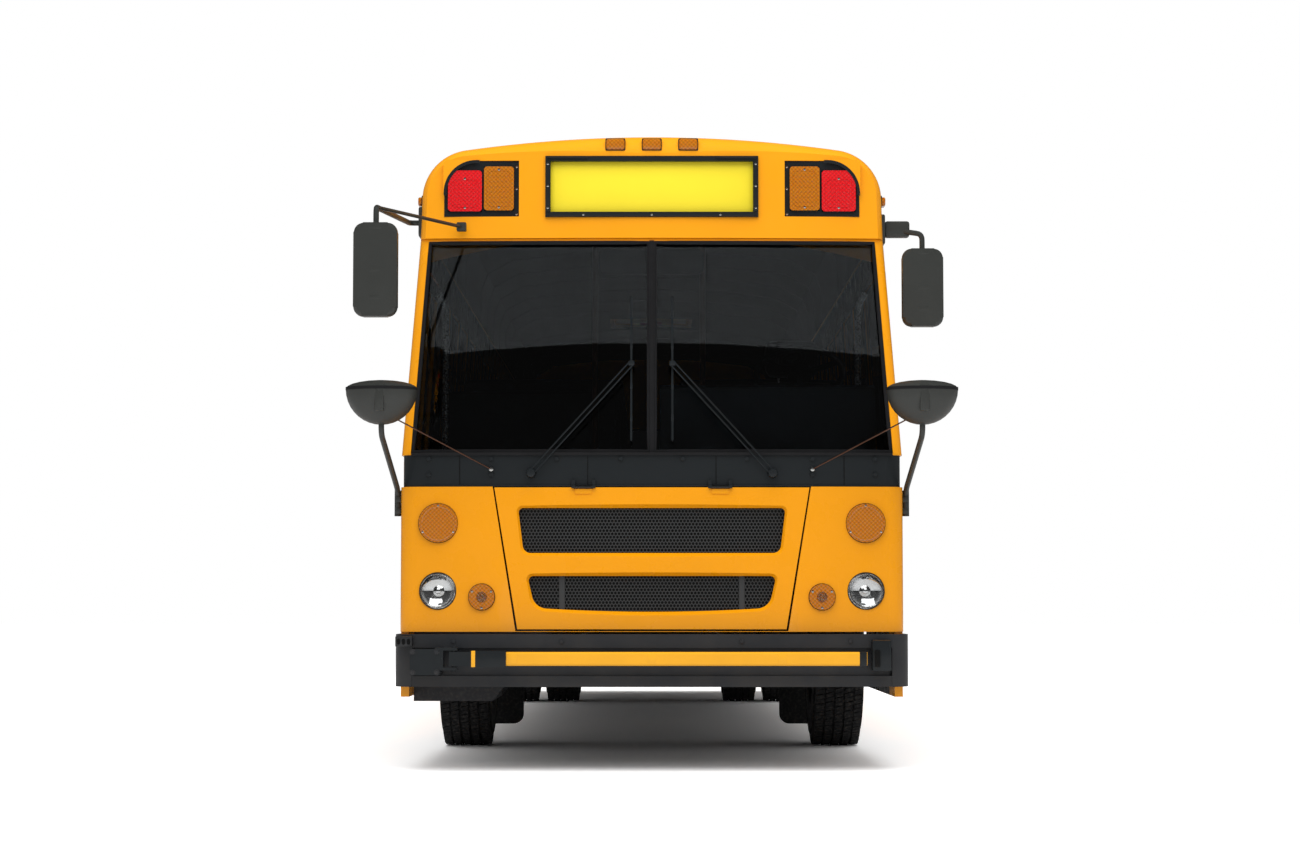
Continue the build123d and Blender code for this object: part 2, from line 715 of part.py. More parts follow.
def engine_hatch_hinges():
    """Hinges along the top edge of the engine hatch."""
    places = [Plane(origin=(x, TAIL + HINGE_SEAT, ENGINE_HATCH_HIGH + HATCH_GAP / 2), x_dir=(0, 1, 0),
                    z_dir=(-1, 0, 0))
              for x in (-HATCH_HINGE_X, HATCH_HINGE_X)]
    return [butt_hinge(place, 4) for place in places]


def rear_wall():
    """The upright back with its window, engine bay opening and rounded corners."""
    def section(inset, z):
        face = plan(side_x(z, inset), -TAIL + inset, -TAIL + REAR_CORNER + WALL + (1 if inset else 0), 1,
                    REAR_CORNER - inset)
        return Pos(0, 0, z) * Rot(0, 0, 180) * face
    lower = loft([section(0, SKIRT_BOTTOM + 100), section(0, BELT)], ruled=True)
    upper = loft([section(0, BELT), section(0, GUTTER_HEIGHT)], ruled=True)
    inner_low = loft([section(WALL, SKIRT_BOTTOM + 99), section(WALL, BELT)], ruled=True)
    inner_high = loft([section(WALL, BELT), section(WALL, GUTTER_HEIGHT + 1)], ruled=True)
    wall = (lower + upper) - inner_low - inner_high
    reach = (TAIL - 200, TAIL + 50)
    wall = wall - block((-REAR_WINDOW_HALF, REAR_WINDOW_HALF), reach, (REAR_WINDOW_LOW, REAR_WINDOW_HIGH))
    grow = HATCH_GAP
    wall = wall - block((-ENGINE_HATCH_HALF - grow, ENGINE_HATCH_HALF + grow), reach,
                        (ENGINE_HATCH_LOW - 200, ENGINE_HATCH_HIGH + grow))
    wall = fuse(wall, [pair[0] for pair in engine_hatch_hinges()])
    write(wall, "rear_wall")
    hatch = block((-ENGINE_HATCH_HALF, ENGINE_HATCH_HALF), (TAIL - WALL, TAIL),
                  (ENGINE_HATCH_LOW, ENGINE_HATCH_HIGH))
    for i in range(LOUVRE_COUNT):
        z = ENGINE_HATCH_LOW + 120 + i * LOUVRE_PITCH
        slot = along_x([(TAIL - WALL - 1, z), (TAIL + 1, z - 18), (TAIL + 1, z + 8),
                        (TAIL - WALL - 1, z + 26)],
                       -LOUVRE_HALF, LOUVRE_HALF)
        hatch = hatch - slot
    hatch = fuse(hatch, [pair[1] for pair in engine_hatch_hinges()])
    write(hatch, "engine_hatch")


def wheel_box(y, inner, half_length, top):
    """The sheet housing over a wheel, open below and outboard, as its outside and its inside."""
    sheet = 10
    outside = block((inner, HALF - WALL), (y - half_length, y + half_length),
                    (FLOOR_TOP - FLOOR_THICK, top))
    inside = block((inner + sheet, HALF), (y - half_length + sheet, y + half_length - sheet),
                   (FLOOR_TOP - FLOOR_THICK - 1, top - sheet))
    return outside, inside


def floor():
    """Flat floor with wheel housings, a raised deck over the engine, and an opening over the steps."""
    low = FLOOR_TOP - FLOOR_THICK
    half = HALF - WALL
    slab = block((-half, half), (FACE + FRONT_JOINT, FACE + DECK_START), (low, FLOOR_TOP))
    slab = slab + block((-half, half), (FACE + DECK_START - FLOOR_THICK, FACE + DECK_START),
                        (low, ENGINE_DECK))
    slab = slab + block((-half, half), (FACE + DECK_START - FLOOR_THICK, TAIL - REAR_CORNER - WALL),
                        (ENGINE_DECK - FLOOR_THICK, ENGINE_DECK))
    for y, inner, half_length in ((FRONT_AXLE, FRONT_BOX_INNER, FRONT_BOX_HALF),
                                  (REAR_AXLE, REAR_BOX_INNER, REAR_BOX_HALF)):
        outside, inside = wheel_box(y, inner, half_length, WHEEL_BOX_TOP)
        slab = slab + outside + mirrored(outside) - inside - mirrored(inside)
    door = (FACE + DOOR_FRONT - STEP_SHEET, FACE + DOOR_FRONT + DOOR_WIDTH + STEP_SHEET)
    slab = slab - block((-HALF, -half + STEP_INNER + STEP_SHEET), door, (low - 10, FLOOR_TOP + 10))
    write(slab, "floor")


def stepwell():
    """Folded steps between two cheek plates, hung from the floor's edge."""
    outer = -(HALF - WALL)
    sheet = STEP_SHEET
    points = [(outer, STEP_FIRST - sheet), (outer, STEP_FIRST)]
    x = outer
    z = STEP_FIRST
    for depth in STEP_DEPTHS:
        x += depth
        points.append((x, z))
        z += STEP_RISE
        points.append((x, z))
    back = [(x + sheet, z), (x + sheet, z - STEP_RISE - sheet)]
    for depth in reversed(STEP_DEPTHS[1:]):
        x -= depth
        z -= STEP_RISE
        back.append((x + sheet, z - sheet))
        back.append((x + sheet, z - STEP_RISE - sheet))
    points += back
    inner_x = outer + STEP_INNER + sheet
    y = (FACE + DOOR_FRONT, FACE + DOOR_FRONT + DOOR_WIDTH)
    steps = along_y(points, *y)
    cheeks = []
    for low, high in ((y[0] - sheet, y[0]), (y[1], y[1] + sheet)):
        cheek = [(outer, STEP_FIRST - sheet), (outer + STEP_DEPTHS[0] + sheet, STEP_FIRST - sheet),
                 (inner_x, FLOOR_TOP - 240), (inner_x, FLOOR_TOP), (outer, FLOOR_TOP)]
        cheeks.append(along_y(cheek, low, high))
    write(steps + cheeks[0] + cheeks[1], "stepwell")


# Running gear
def tyre(width, middle):
    """A tyre about the x axis: flat tread, rounded shoulders and bulged walls."""
    half = width / 2
    bead = half - 26
    profile = [(middle - bead, RIM_RADIUS), (middle - half, RIM_RADIUS + 110),
               (middle - half + 6, TYRE_RADIUS - 60),
               (middle - half + 38, TYRE_RADIUS - 9), (middle - half + 70, TYRE_RADIUS),
               (middle + half - 70, TYRE_RADIUS), (middle + half - 38, TYRE_RADIUS - 9),
               (middle + half - 6, TYRE_RADIUS - 60), (middle + half, RIM_RADIUS + 110), (middle + bead,
                                                                                          RIM_RADIUS)]
    return revolve(Plane.XY * make_face(Polyline(*profile, close=True)), axis=Axis.X)


def disc_wheel(middle, disc_x, toward):
    """A dished steel wheel with its drum; the disc stands at disc_x, its drum runs inboard."""
    half = TYRE_WIDTH / 2 - 27
    sheet = 14
    rim = [(middle - half, RIM_RADIUS - 0.3), (middle - half, RIM_RADIUS - 30),
           (middle - half + 16, RIM_RADIUS - 30),
           (middle - half + 40, RIM_RADIUS - 44), (middle + half - 40, RIM_RADIUS - 44),
           (middle + half - 16, RIM_RADIUS - 30), (middle + half, RIM_RADIUS - 30), (middle + half,
                                                                                     RIM_RADIUS - 0.3)]
    body = revolve(Plane.XY * make_face(Polyline(*rim, close=True)), axis=Axis.X)
    bore = SPINDLE_RADIUS + RUNNING_GAP
    dish = [(disc_x, bore), (disc_x, 150), (disc_x - toward * 34, 205),
            (disc_x - toward * 105, RIM_RADIUS - 42),
            (disc_x - toward * (105 + 2 * sheet), RIM_RADIUS - 42), (disc_x - toward * (34 + sheet), 198),
            (disc_x - toward * sheet, 143), (disc_x - toward * sheet, bore)]
    disc = revolve(Plane.XY * make_face(Polyline(*dish, close=True)), axis=Axis.X)
    for i in range(10):
        angle = math.radians(36 * i)
        y = 180 * math.cos(angle)
        z = 180 * math.sin(angle)
        disc = disc - rod_x(sorted((disc_x - toward * 80, disc_x + toward * 10)), y, z, 24)
    return body + disc


def front_wheel():
    """Left front wheel and hub about the x axis, with a blind bore over the spindle."""
    disc_x = FRONT_TRACK_HALF + 92
    wheel = disc_wheel(FRONT_TRACK_HALF, disc_x, 1)
    inner = SPINDLE_RADIUS + RUNNING_GAP
    hub_profile = [(945, inner), (945, 95), (disc_x - 10, 95), (disc_x, 110), (disc_x + 14, 110),
                   (disc_x + 30, 84),
                   (disc_x + 44, 78), (disc_x + 44, 0), (disc_x + 4, 0), (disc_x + 4, inner)]
    hub = revolve(Plane.XY * make_face(Polyline(*hub_profile, close=True)), axis=Axis.X)
    drum_profile = [(925, DRUM_RADIUS - 12), (925, DRUM_RADIUS), (disc_x - 14, DRUM_RADIUS),
                    (disc_x - 14, 90),
                    (disc_x - 28, 90), (disc_x - 28, DRUM_RADIUS - 12)]
    drum = revolve(Plane.XY * make_face(Polyline(*drum_profile, close=True)), axis=Axis.X)
    return wheel + hub + drum


def rear_wheel():
    """Left rear pair of wheels on one hub, about the x axis."""
    inner_half = REAR_OUTER_HALF - DUAL_SPACING
    joint = (REAR_OUTER_HALF + inner_half) / 2
    outer = disc_wheel(REAR_OUTER_HALF, joint, -1)
    inner_wheel = disc_wheel(inner_half, joint, 1)
    bore = SPINDLE_RADIUS + RUNNING_GAP
    end = REAR_OUTER_HALF + 60
    hub_profile = [(joint - 110, bore), (joint - 110, 100), (joint + 14, 140), (joint + 30, 100),
                   (end - 40, 92),
                   (end - 6, 86), (end, 70), (end, 0), (end - 30, 0), (end - 30, bore)]
    hub = revolve(Plane.XY * make_face(Polyline(*hub_profile, close=True)), axis=Axis.X)
    drum_profile = [(joint - 210, DRUM_RADIUS - 12), (joint - 210, DRUM_RADIUS), (joint - 14, DRUM_RADIUS),
                    (joint - 14, 90), (joint - 28, 90), (joint - 28, DRUM_RADIUS - 12)]
    drum = revolve(Plane.XY * make_face(Polyline(*drum_profile, close=True)), axis=Axis.X)
    return outer + inner_wheel + hub + drum


def wheels():
    """Tyres and steel wheels, the rear ones in pairs."""
    inner_half = REAR_OUTER_HALF - DUAL_SPACING
    parts = {
        "front_tyre": (FRONT_AXLE, [tyre(TYRE_WIDTH, FRONT_TRACK_HALF)]),
        "front_rim": (FRONT_AXLE, [front_wheel()]),
        "rear_tyres": (REAR_AXLE, [tyre(TYRE_WIDTH, REAR_OUTER_HALF), tyre(TYRE_WIDTH, inner_half)]),
        "rear_rims": (REAR_AXLE, [rear_wheel()]),
    }
    for name, (y, shapes) in parts.items():
        placed = [Pos(0, y, TYRE_RADIUS) * shape for shape in shapes]
        write(group(*placed), f"{name}_left")
        write(group(*[mirrored(shape) for shape in placed]), f"{name}_right")


def front_axle():
    """Forged drop beam with an eye for each kingpin."""
    high = AXLE_BEAM_HIGH
    eye_low, eye_high = TYRE_RADIUS - 55, TYRE_RADIUS + 55
    points = [(0, high), (600, high), (740, eye_high - 8), (KINGPIN_HALF, eye_high - 8),
              (KINGPIN_HALF, eye_low + 8), (KINGPIN_HALF - 90,
                                            eye_low + 8), (620, high - 110), (0, high - 110)]
    y = (FRONT_AXLE - 50, FRONT_AXLE + 50)
    half_beam = along_y(points, *y)
    groove = [(0, high - 28), (580, high - 28), (640, high + 8), (690, eye_low + 50), (600, high - 84),
              (0, high - 84)]
    half_beam = half_beam - along_y(groove, FRONT_AXLE - 51, FRONT_AXLE - 18)
    half_beam = half_beam - along_y(groove, FRONT_AXLE + 18, FRONT_AXLE + 51)
    half_beam = half_beam + rod_z(KINGPIN_HALF, FRONT_AXLE, (eye_low, eye_high), KINGPIN_EYE)
    half_beam = half_beam - rod_z(KINGPIN_HALF, FRONT_AXLE, (eye_low - 1, eye_high + 1),
                                  KINGPIN_RADIUS + RUNNING_GAP)
    pad = block((RAIL_HALF - 50, RAIL_HALF + 50), (FRONT_AXLE - 70, FRONT_AXLE + 70),
                (high - 40, high + 22))
    half_beam = half_beam + pad
    write(half_beam + mirrored(half_beam), "front_axle")


def knuckle():
    """Left steering knuckle: two ears on a kingpin, a spindle, a brake plate and a steering arm."""
    gap = 6
    eye_low, eye_high = TYRE_RADIUS - 55 - gap, TYRE_RADIUS + 55 + gap
    upper = rod_z(KINGPIN_HALF, FRONT_AXLE, (eye_high, eye_high + 42), 50)
    lower = rod_z(KINGPIN_HALF, FRONT_AXLE, (eye_low - 42, eye_low), 50)
    pin = rod_z(KINGPIN_HALF, FRONT_AXLE, (eye_low - 42, eye_high + 42), KINGPIN_RADIUS)
    plate_x = KINGPIN_HALF + 42
    web = block((KINGPIN_HALF + 40, plate_x + 12), (FRONT_AXLE - 50, FRONT_AXLE + 50),
                (eye_low - 42, eye_high + 42))
    ears = block((KINGPIN_HALF, KINGPIN_HALF + 45), (FRONT_AXLE - 45, FRONT_AXLE + 45),
                 (eye_high, eye_high + 42))
    ears_low = block((KINGPIN_HALF, KINGPIN_HALF + 45), (FRONT_AXLE - 45, FRONT_AXLE + 45),
                     (eye_low - 42, eye_low))
    spindle = rod_x((plate_x, FRONT_TRACK_HALF + 92), FRONT_AXLE, TYRE_RADIUS, SPINDLE_RADIUS)
    plate = rod_x((plate_x + 4, plate_x + 14), FRONT_AXLE, TYRE_RADIUS, 185)
    arm_z = eye_low - 21
    arm = along_z([(KINGPIN_HALF - 30, FRONT_AXLE), (KINGPIN_HALF + 30, FRONT_AXLE),
                   (KINGPIN_HALF + 20, FRONT_AXLE + STEER_ARM), (KINGPIN_HALF - 20,
                                                                 FRONT_AXLE + STEER_ARM)],
                  arm_z - 15, arm_z + 15)
    arm_eye = rod_z(KINGPIN_HALF, FRONT_AXLE + STEER_ARM, (arm_z - 15, arm_z + 15), 30)
    ball = rod_z(KINGPIN_HALF, FRONT_AXLE + STEER_ARM, (arm_z - 62, arm_z), 14)
    return upper + lower + pin + web + ears + ears_low + spindle + plate + arm + arm_eye + ball


def steering_gear():
    left = knuckle()
    write(left, "knuckle_left")
    write(mirrored(left), "knuckle_right")
    arm_z = TYRE_RADIUS - 55 - 6 - 21
    rod_z_mid = arm_z - 42
    y = FRONT_AXLE + STEER_ARM
    bar = rod_x((-KINGPIN_HALF + 30, KINGPIN_HALF - 30), y, rod_z_mid, 20)
    for side in (-1, 1):
        eye = rod_z(side * KINGPIN_HALF, y, (rod_z_mid - 22, rod_z_mid + 22), 36)
        bar = bar + eye
    for side in (-1, 1):
        bar = bar - rod_z(side * KINGPIN_HALF, y, (rod_z_mid - 23, rod_z_mid + 23), 14 + RUNNING_GAP)
    write(bar, "tie_rod")


def rear_axle():
    """Banjo housing with its differential bowl and hollow ends that carry the wheels."""
    inner_half = REAR_OUTER_HALF - DUAL_SPACING
    joint = (REAR_OUTER_HALF + inner_half) / 2
    end = REAR_OUTER_HALF + 30
    tube = rod_x((-(joint - 130), joint - 130), REAR_AXLE, TYRE_RADIUS, AXLE_TUBE_RADIUS)
    bowl = rod_y(0, (REAR_AXLE - 90, REAR_AXLE + 130), TYRE_RADIUS, 210)
    nose = rod_y(0, (REAR_AXLE + 100, REAR_AXLE + 290), TYRE_RADIUS + 30, 90)
    spindle = rod_x((-end + 2, end - 2), REAR_AXLE, TYRE_RADIUS, SPINDLE_RADIUS)
    axle = tube + bowl + nose + spindle
    for side in (-1, 1):
        pad = block(sorted((side * (RAIL_HALF - 50), side * (RAIL_HALF + 50))),
                    (REAR_AXLE - 90, REAR_AXLE + 90),
                    (TYRE_RADIUS - 20, TYRE_RADIUS + REAR_PAD))
        plate = rod_x(sorted((side * (joint - 228), side * (joint - 216))), REAR_AXLE, TYRE_RADIUS, 190)
        axle = axle + pad + plate
    write(axle, "rear_axle")


def leaf_pack(y, seat_z, lengths, arch):
    """A pack of bowed leaves over an axle pad, each longer one lying on the next."""
    longest = lengths[0] / 2
    radius = (longest ** 2 + arch ** 2) / (2 * arch)
    leaves = []
    for i, length in enumerate(lengths):
        low = len(lengths) - 1 - i
        centre_z = seat_z + radius
        outer = radius - low * LEAF_THICK
        ring = rod_x((RAIL_HALF - LEAF_WIDTH / 2, RAIL_HALF + LEAF_WIDTH / 2), y, centre_z, outer)
        hollow = rod_x((RAIL_HALF - LEAF_WIDTH, RAIL_HALF + LEAF_WIDTH), y, centre_z, outer - LEAF_THICK)
        window = block((0, HALF), (y - length / 2, y + length / 2), (seat_z - 50, seat_z + arch + 120))
        leaves.append((ring - hollow) & window)
    pack = leaves[0]
    for leaf in leaves[1:]:
        pack = pack + leaf
    return pack


def springs():
    front = leaf_pack(FRONT_AXLE, AXLE_BEAM_HIGH + 22, (560, 1000, FRONT_SPRING)[::-1], SPRING_ARCH)
    rear = leaf_pack(REAR_AXLE, TYRE_RADIUS + REAR_PAD, (600, 1050, REAR_SPRING)[::-1], REAR_SPRING_ARCH)
    write(group(both(front), both(rear)), "leaf_springs")


def channel_rail():
    web = block((RAIL_HALF - RAIL_WEB, RAIL_HALF), (FACE + 120, TAIL - 160), (RAIL_LOW, RAIL_HIGH))
    low = block((RAIL_HALF - RAIL_FLANGE, RAIL_HALF), (FACE + 120, TAIL - 160),
                (RAIL_LOW, RAIL_LOW + RAIL_WEB))
    high = block((RAIL_HALF - RAIL_FLANGE, RAIL_HALF), (FACE + 120, TAIL - 160),
                 (RAIL_HIGH - RAIL_WEB, RAIL_HIGH))
    return web + low + high


def chassis_frame():
    """Two channel rails with their spring hangers and tow eyes."""
    rail = channel_rail()
    springs_at = ((FRONT_AXLE, FRONT_SPRING, AXLE_BEAM_HIGH + 22 + SPRING_ARCH),
                  (REAR_AXLE, REAR_SPRING, TYRE_RADIUS + REAR_PAD + REAR_SPRING_ARCH))
    for centre, length, z in springs_at:
        for end in (-1, 1):
            y = centre + end * (length / 2 + 20 + SEAT_GAP)
            rail = rail + block((RAIL_HALF - 44, RAIL_HALF + 44), (y - 20, y + 20), (z - 20, RAIL_LOW + 20))
    eye_x = (RAIL_HALF - RAIL_WEB - 22, RAIL_HALF - RAIL_WEB + 2)
    eye_z = RAIL_LOW - TOW_EYE_DROP
    for eye_y, toward in ((FACE + TOW_EYE_BACK, 1), (TAIL - TOW_EYE_BACK, -1)):
        plate = block(eye_x, sorted((eye_y - toward * 45, eye_y + toward * 110)),
                      (eye_z - 45, RAIL_LOW + 20))
        rail = rail + (plate - rod_x((eye_x[0] - 5, eye_x[1] + 5), eye_y, eye_z, TOW_EYE_RADIUS))
    write(group(rail, mirrored(rail)), "chassis_frame")


def cross_members():
    """Channel members between the rails, and bearers over them under the floor."""
    half = RAIL_HALF - RAIL_WEB - SEAT_GAP
    members = []
    for y in [FACE + place for place in MEMBER_PLACES] + [TAIL - 200]:
        beam = block((-half, half), (y - 35, y + 35), (RAIL_LOW + 40, RAIL_HIGH - 40))
        members.append(beam - block((-RAIL_HALF, RAIL_HALF), (y - 27, y + 60),
                                    (RAIL_LOW + 48, RAIL_HIGH - 48)))
    reach = (-HALF + WALL, HALF - WALL)
    for y in [FACE + place for place in BEARER_PLACES]:
        members.append(block(reach, (y - 30, y + 30), (RAIL_HIGH, FLOOR_TOP - FLOOR_THICK)))
    for y in (FACE + 10300, TAIL - 300):
        members.append(block(reach, (y - 30, y + 30), (RAIL_HIGH, RAIL_HIGH + 60)))
    write(group(*members), "cross_members")


def driveline():
    """Engine, gearbox and shaft behind the rear axle, with the fuel tank and air reservoirs ahead of it."""
    engine = block((-ENGINE_HALF, ENGINE_HALF), (TAIL - 1560, TAIL - 420), (560, 1260))
    gearbox = block((-210, 210), (TAIL - 2060, TAIL - 1560), (520, 870))
    gearbox = chamfer(gearbox.edges().filter_by(Axis.Y), 50)
    shaft = rod_y(0, (REAR_AXLE + 290.5, TAIL - 2060), TYRE_RADIUS + 30, 45)
    write(engine + gearbox + shaft, "engine_and_gearbox")
    tank = block((-410, 410), (FACE + 4800, FACE + 5900), (430, RAIL_LOW - SEAT_GAP))
    tank = fillet(tank.edges().filter_by(Axis.Y), 60)
    reservoirs = both(rod_y(390, (FACE + 3500, FACE + 4600), RAIL_LOW - SEAT_GAP - 118, 118))
    write(group(tank, reservoirs), "tanks")
    muffler = rod_x((-1050, -500), TAIL - 700, 560, 140)
    pipe = tube_path([(-520, TAIL - 700, 575), (-ENGINE_HALF - SEAT_GAP, TAIL - 700, 575)], 60, 50)
    tail_pipe = tube_path([(-900, TAIL - 690, 500), (-900, TAIL - 420, 345), (-900, TAIL + 40, 345)], 90,
                          50)
    write(muffler + pipe + tail_pipe, "exhaust")


# Fittings outside
def front_bumper():
    """Deep channel bumper: top flange, recess for the arm, and a rolled lower edge."""
    def band(proud, z_low, z_high):
        half = HALF + BUMPER_PROUD
        outer = plan(half - 25 + proud, FACE - BUMPER_REACH + 25 - proud, FACE + 330, 46, 90)
        inner = plan(HALF + 0.5, FACE - BUMPER_REACH + 62, FACE + 331, 46, 70)
        return extrude(Pos(0, 0, z_low) * outer, z_high - z_low) - extrude(Pos(0, 0, z_low) * inner,
                                                                           z_high - z_low)
    low, lip, flange, top = BUMPER_HEIGHTS
    bumper = band(25, flange, top) + band(0, lip, flange) + band(22, low, lip)
    middle = block((-BUMPER_END, BUMPER_END), (FACE - 200, FACE + 400), (low - 10, top + 10))
    bumper = bumper + (band(25, low, top) - middle)
    bracket = along_x([(FACE - 30, 480), (FACE + 300, 600), (FACE + 300, 780), (FACE + 125, 780),
                       (FACE + 125, 650),
                       (FACE - 30, 640)], RAIL_HALF, RAIL_HALF + 16)
    return bumper + bracket + mirrored(bracket)


def bumpers(front):
    write(group(front, rear_bumper()), "bumpers")


def rear_bumper():
    outer = Rot(0, 0, 180) * plan(HALF + BUMPER_PROUD, -TAIL - BUMPER_REACH, -TAIL + BUMPER_WRAP, 20, 90)
    inner = Rot(0, 0, 180) * plan(HALF + 0.5, -TAIL - BUMPER_REACH + 30, -TAIL + BUMPER_WRAP + 1, 20, 70)
    low = 400
    tall = BUMPER_TOP_REAR - low
    bumper = extrude(Pos(0, 0, low) * outer, tall) - extrude(Pos(0, 0, low) * inner, tall)
    high = BUMPER_TOP_REAR - 10
    bracket = along_x([(TAIL - 420, RAIL_LOW + 20), (TAIL + 70, 480), (TAIL + 70, high), (TAIL - 60, high),
                       (TAIL - 190, RAIL_HIGH - 60), (TAIL - 420,
                                                      RAIL_HIGH - 60)], RAIL_HALF, RAIL_HALF + 16)
    return bumper + bracket + mirrored(bracket)


def crossing_arm(bumper):
    """Swinging gate on the bumper's right end, with its motor box and hinge post."""
    mid = sum(ARM_Z) / 2
    post = rod_z(ARM_HINGE_X, ARM_HINGE_Y, (mid - 60, mid + 60), 12)
    base = block((ARM_HINGE_X - 208, ARM_HINGE_X - 66), (FACE - BUMPER_REACH - 75, FACE),
                 (462, 586)) - bumper
    base = base.solids().sort_by(Axis.Y)[0]
    ear_x = (ARM_HINGE_X - 70, ARM_HINGE_X + 16)
    ear_y = (ARM_HINGE_Y - 16, ARM_HINGE_Y + 16)
    arms = block(ear_x, ear_y, (mid + 40, mid + 54))
    arms_low = block(ear_x, ear_y, (mid - 54, mid - 40))
    stay = block((ARM_HINGE_X - 90, ARM_HINGE_X - 50), (ARM_HINGE_Y - 16, FACE - BUMPER_REACH + 2),
                 (mid - 54, mid + 54))
    mount = base + arms + arms_low + stay + post
    knuckle_y = (ARM_HINGE_Y - 20, ARM_HINGE_Y + 20)
    knuckle_block = block((ARM_HINGE_X - 22, ARM_HINGE_X + 90), knuckle_y, (mid - 33, mid + 33))
    knuckle_block = knuckle_block - rod_z(ARM_HINGE_X, ARM_HINGE_Y, (mid - 40, mid + 40), 12 + RUNNING_GAP)
    beam = block((ARM_HINGE_X + 80, ARM_END), (ARM_HINGE_Y - 16, ARM_HINGE_Y + 16), ARM_Z)
    beam = fillet(beam.edges().filter_by(Axis.X), 12)
    sleeve_y = (ARM_HINGE_Y - 22, ARM_HINGE_Y + 22)
    sleeve = block((ARM_HINGE_X + 92, ARM_HINGE_X + 240), sleeve_y, (ARM_Z[0] - 5, ARM_Z[1] + 5))
    write(knuckle_block + beam + sleeve, "crossing_arm")
    return mount


def stop_arm():
    """Octagonal blade folded against the left side, with its hinge box."""
    y = FACE + STOP_Y
    box_shape = block((HALF + 0.3, HALF + 50), (y - 150, y - 30), (STOP_Z - 110, STOP_Z + 110))
    ears = block((HALF + 10, HALF + 50), (y - 31, y + 12), (STOP_Z + 88, STOP_Z + 110))
    ears_low = block((HALF + 10, HALF + 50), (y - 31, y + 12), (STOP_Z - 110, STOP_Z - 88))
    pin = rod_z(HALF + STOP_OUT, y, (STOP_Z - 100, STOP_Z + 100), 6)
    mount = box_shape + ears + ears_low + pin
    x = HALF + STOP_OUT
    centre = y + 30 + STOP_HALF
    corner = STOP_HALF * math.tan(math.radians(22.5))
    corners = [(-STOP_HALF, -corner), (-corner, -STOP_HALF), (corner, -STOP_HALF), (STOP_HALF, -corner),
               (STOP_HALF, corner), (corner, STOP_HALF), (-corner, STOP_HALF), (-STOP_HALF, corner)]
    outline = [(centre + along, STOP_Z + up) for along, up in corners]
    blade = along_x(outline, x - 3, x + 3)
    barrel = rod_z(x, y, (STOP_Z - 80, STOP_Z + 80), 11) + block((x - 4, x + 4), (y, y + 60),
                                                                 (STOP_Z - 80, STOP_Z + 80))
    barrel = barrel - rod_z(x, y, (STOP_Z - 90, STOP_Z + 90), 6 + RUNNING_GAP)
    write(blade + barrel, "stop_blade")
    return mount


def gates(bumper):
    write(group(crossing_arm(bumper), stop_arm()), "gate_mounts")


def lamps(cap):
    """Lenses by colour, the dark warning lamp panels, and the rear clusters."""
    amber, clear, red, housings = [], [], [], []
    for side in (-1, 1):
        for (x, z, radius), store in ((TURN_LAMP, amber), (HEAD_LAMP, clear), (SIDE_LAMP, amber)):
            face_y = FACE + FRONT_BOW * (x / HALF) ** 2
            store.append(rod_y(side * x, (face_y - LAMP_PROUD, face_y + 45), z, radius - LAMP_GAP))
        for lamp_x, z, store in ((1010, 1180, red), (1010, 960, amber), (1010, 780, clear)):
            store.append(rod_y(side * lamp_x, (TAIL + 0.3, TAIL + 28), z, 88))
        for lamp_x, store in ((REAR_WARNING_X[1], red), (REAR_WARNING_X[0], amber)):
            store.append(rod_y(side * lamp_x, (TAIL + SEAT_GAP, TAIL + 26), REAR_WARNING_Z, 88))
    panel = warning_block(WARNING_PANEL, 0.5, WARNING_MARGIN, 22, WARNING_DEPTH - 0.5)
    for corners, store in ((RED_LENS, red), (AMBER_LENS, amber)):
        panel = panel - warning_block(corners, 0, LENS_MARGIN, 15, 40)
        lens = warning_block(corners, LAMP_GAP, LENS_MARGIN, 6, 39.5)
        lens = fillet(lens.edges().filter_by(Axis.Y), LENS_CORNER)
        store += [lens, mirrored(lens)]
    housings += [panel, mirrored(panel)]
    for i in (-1, 0, 1):
        x = i * MARKER_SPACING
        top = OVERALL_HEIGHT - MARKER_DROP
        lens = block((x - MARKER_HALF, x + MARKER_HALF), (CAP_FACE + 22, CAP_FACE + 90),
                     (top - MARKER_TALL, top))
        amber.append(lens - cap)
    write(group(*amber), "amber_lenses")
    write(group(*clear), "clear_lenses")
    write(group(*red), "red_lenses")
    write(group(*housings, sign()), "cap_frames")


def sign():
    """Blank name board in its frame over the windshield."""
    low, high = SIGN_HEIGHTS
    half = SIGN_HALF - 0.5
    outer = block((-half, half), (CAP_FACE - 8, CAP_FACE + SIGN_DEPTH - 0.5), (low + 0.5, high - 0.5))
    field = block((-SIGN_HALF + SIGN_FRAME, SIGN_HALF - SIGN_FRAME), (CAP_FACE - 20, CAP_FACE + SIGN_DEPTH),
                  (low + SIGN_FRAME, high - SIGN_FRAME))
    return outer - field


def main_mirror(side, cap):
    """Tall flat mirror on a tube arm from the corner over the windshield."""
    x, set_back, low, high = MAIN_MIRROR[side]
    x = side * x
    y = FACE + set_back
    half = MAIN_MIRROR_HALF
    head = block((x - half, x + half), (y - 40, y + 40), (low, high))
    head = fillet(head.edges().filter_by(Axis.Y), 45)
    root_z, top = MIRROR_ARM_Z[side]
    root_y = CAP_FACE + 150
    arm = tube_path([(side * (GUTTER_HALF - 15), root_y, root_z), (side * 1215, root_y, root_z),
                     (x, y, top),
                     (x, y, high - 5)], 24, MIRROR_TUBE)
    return head + (arm - cap)


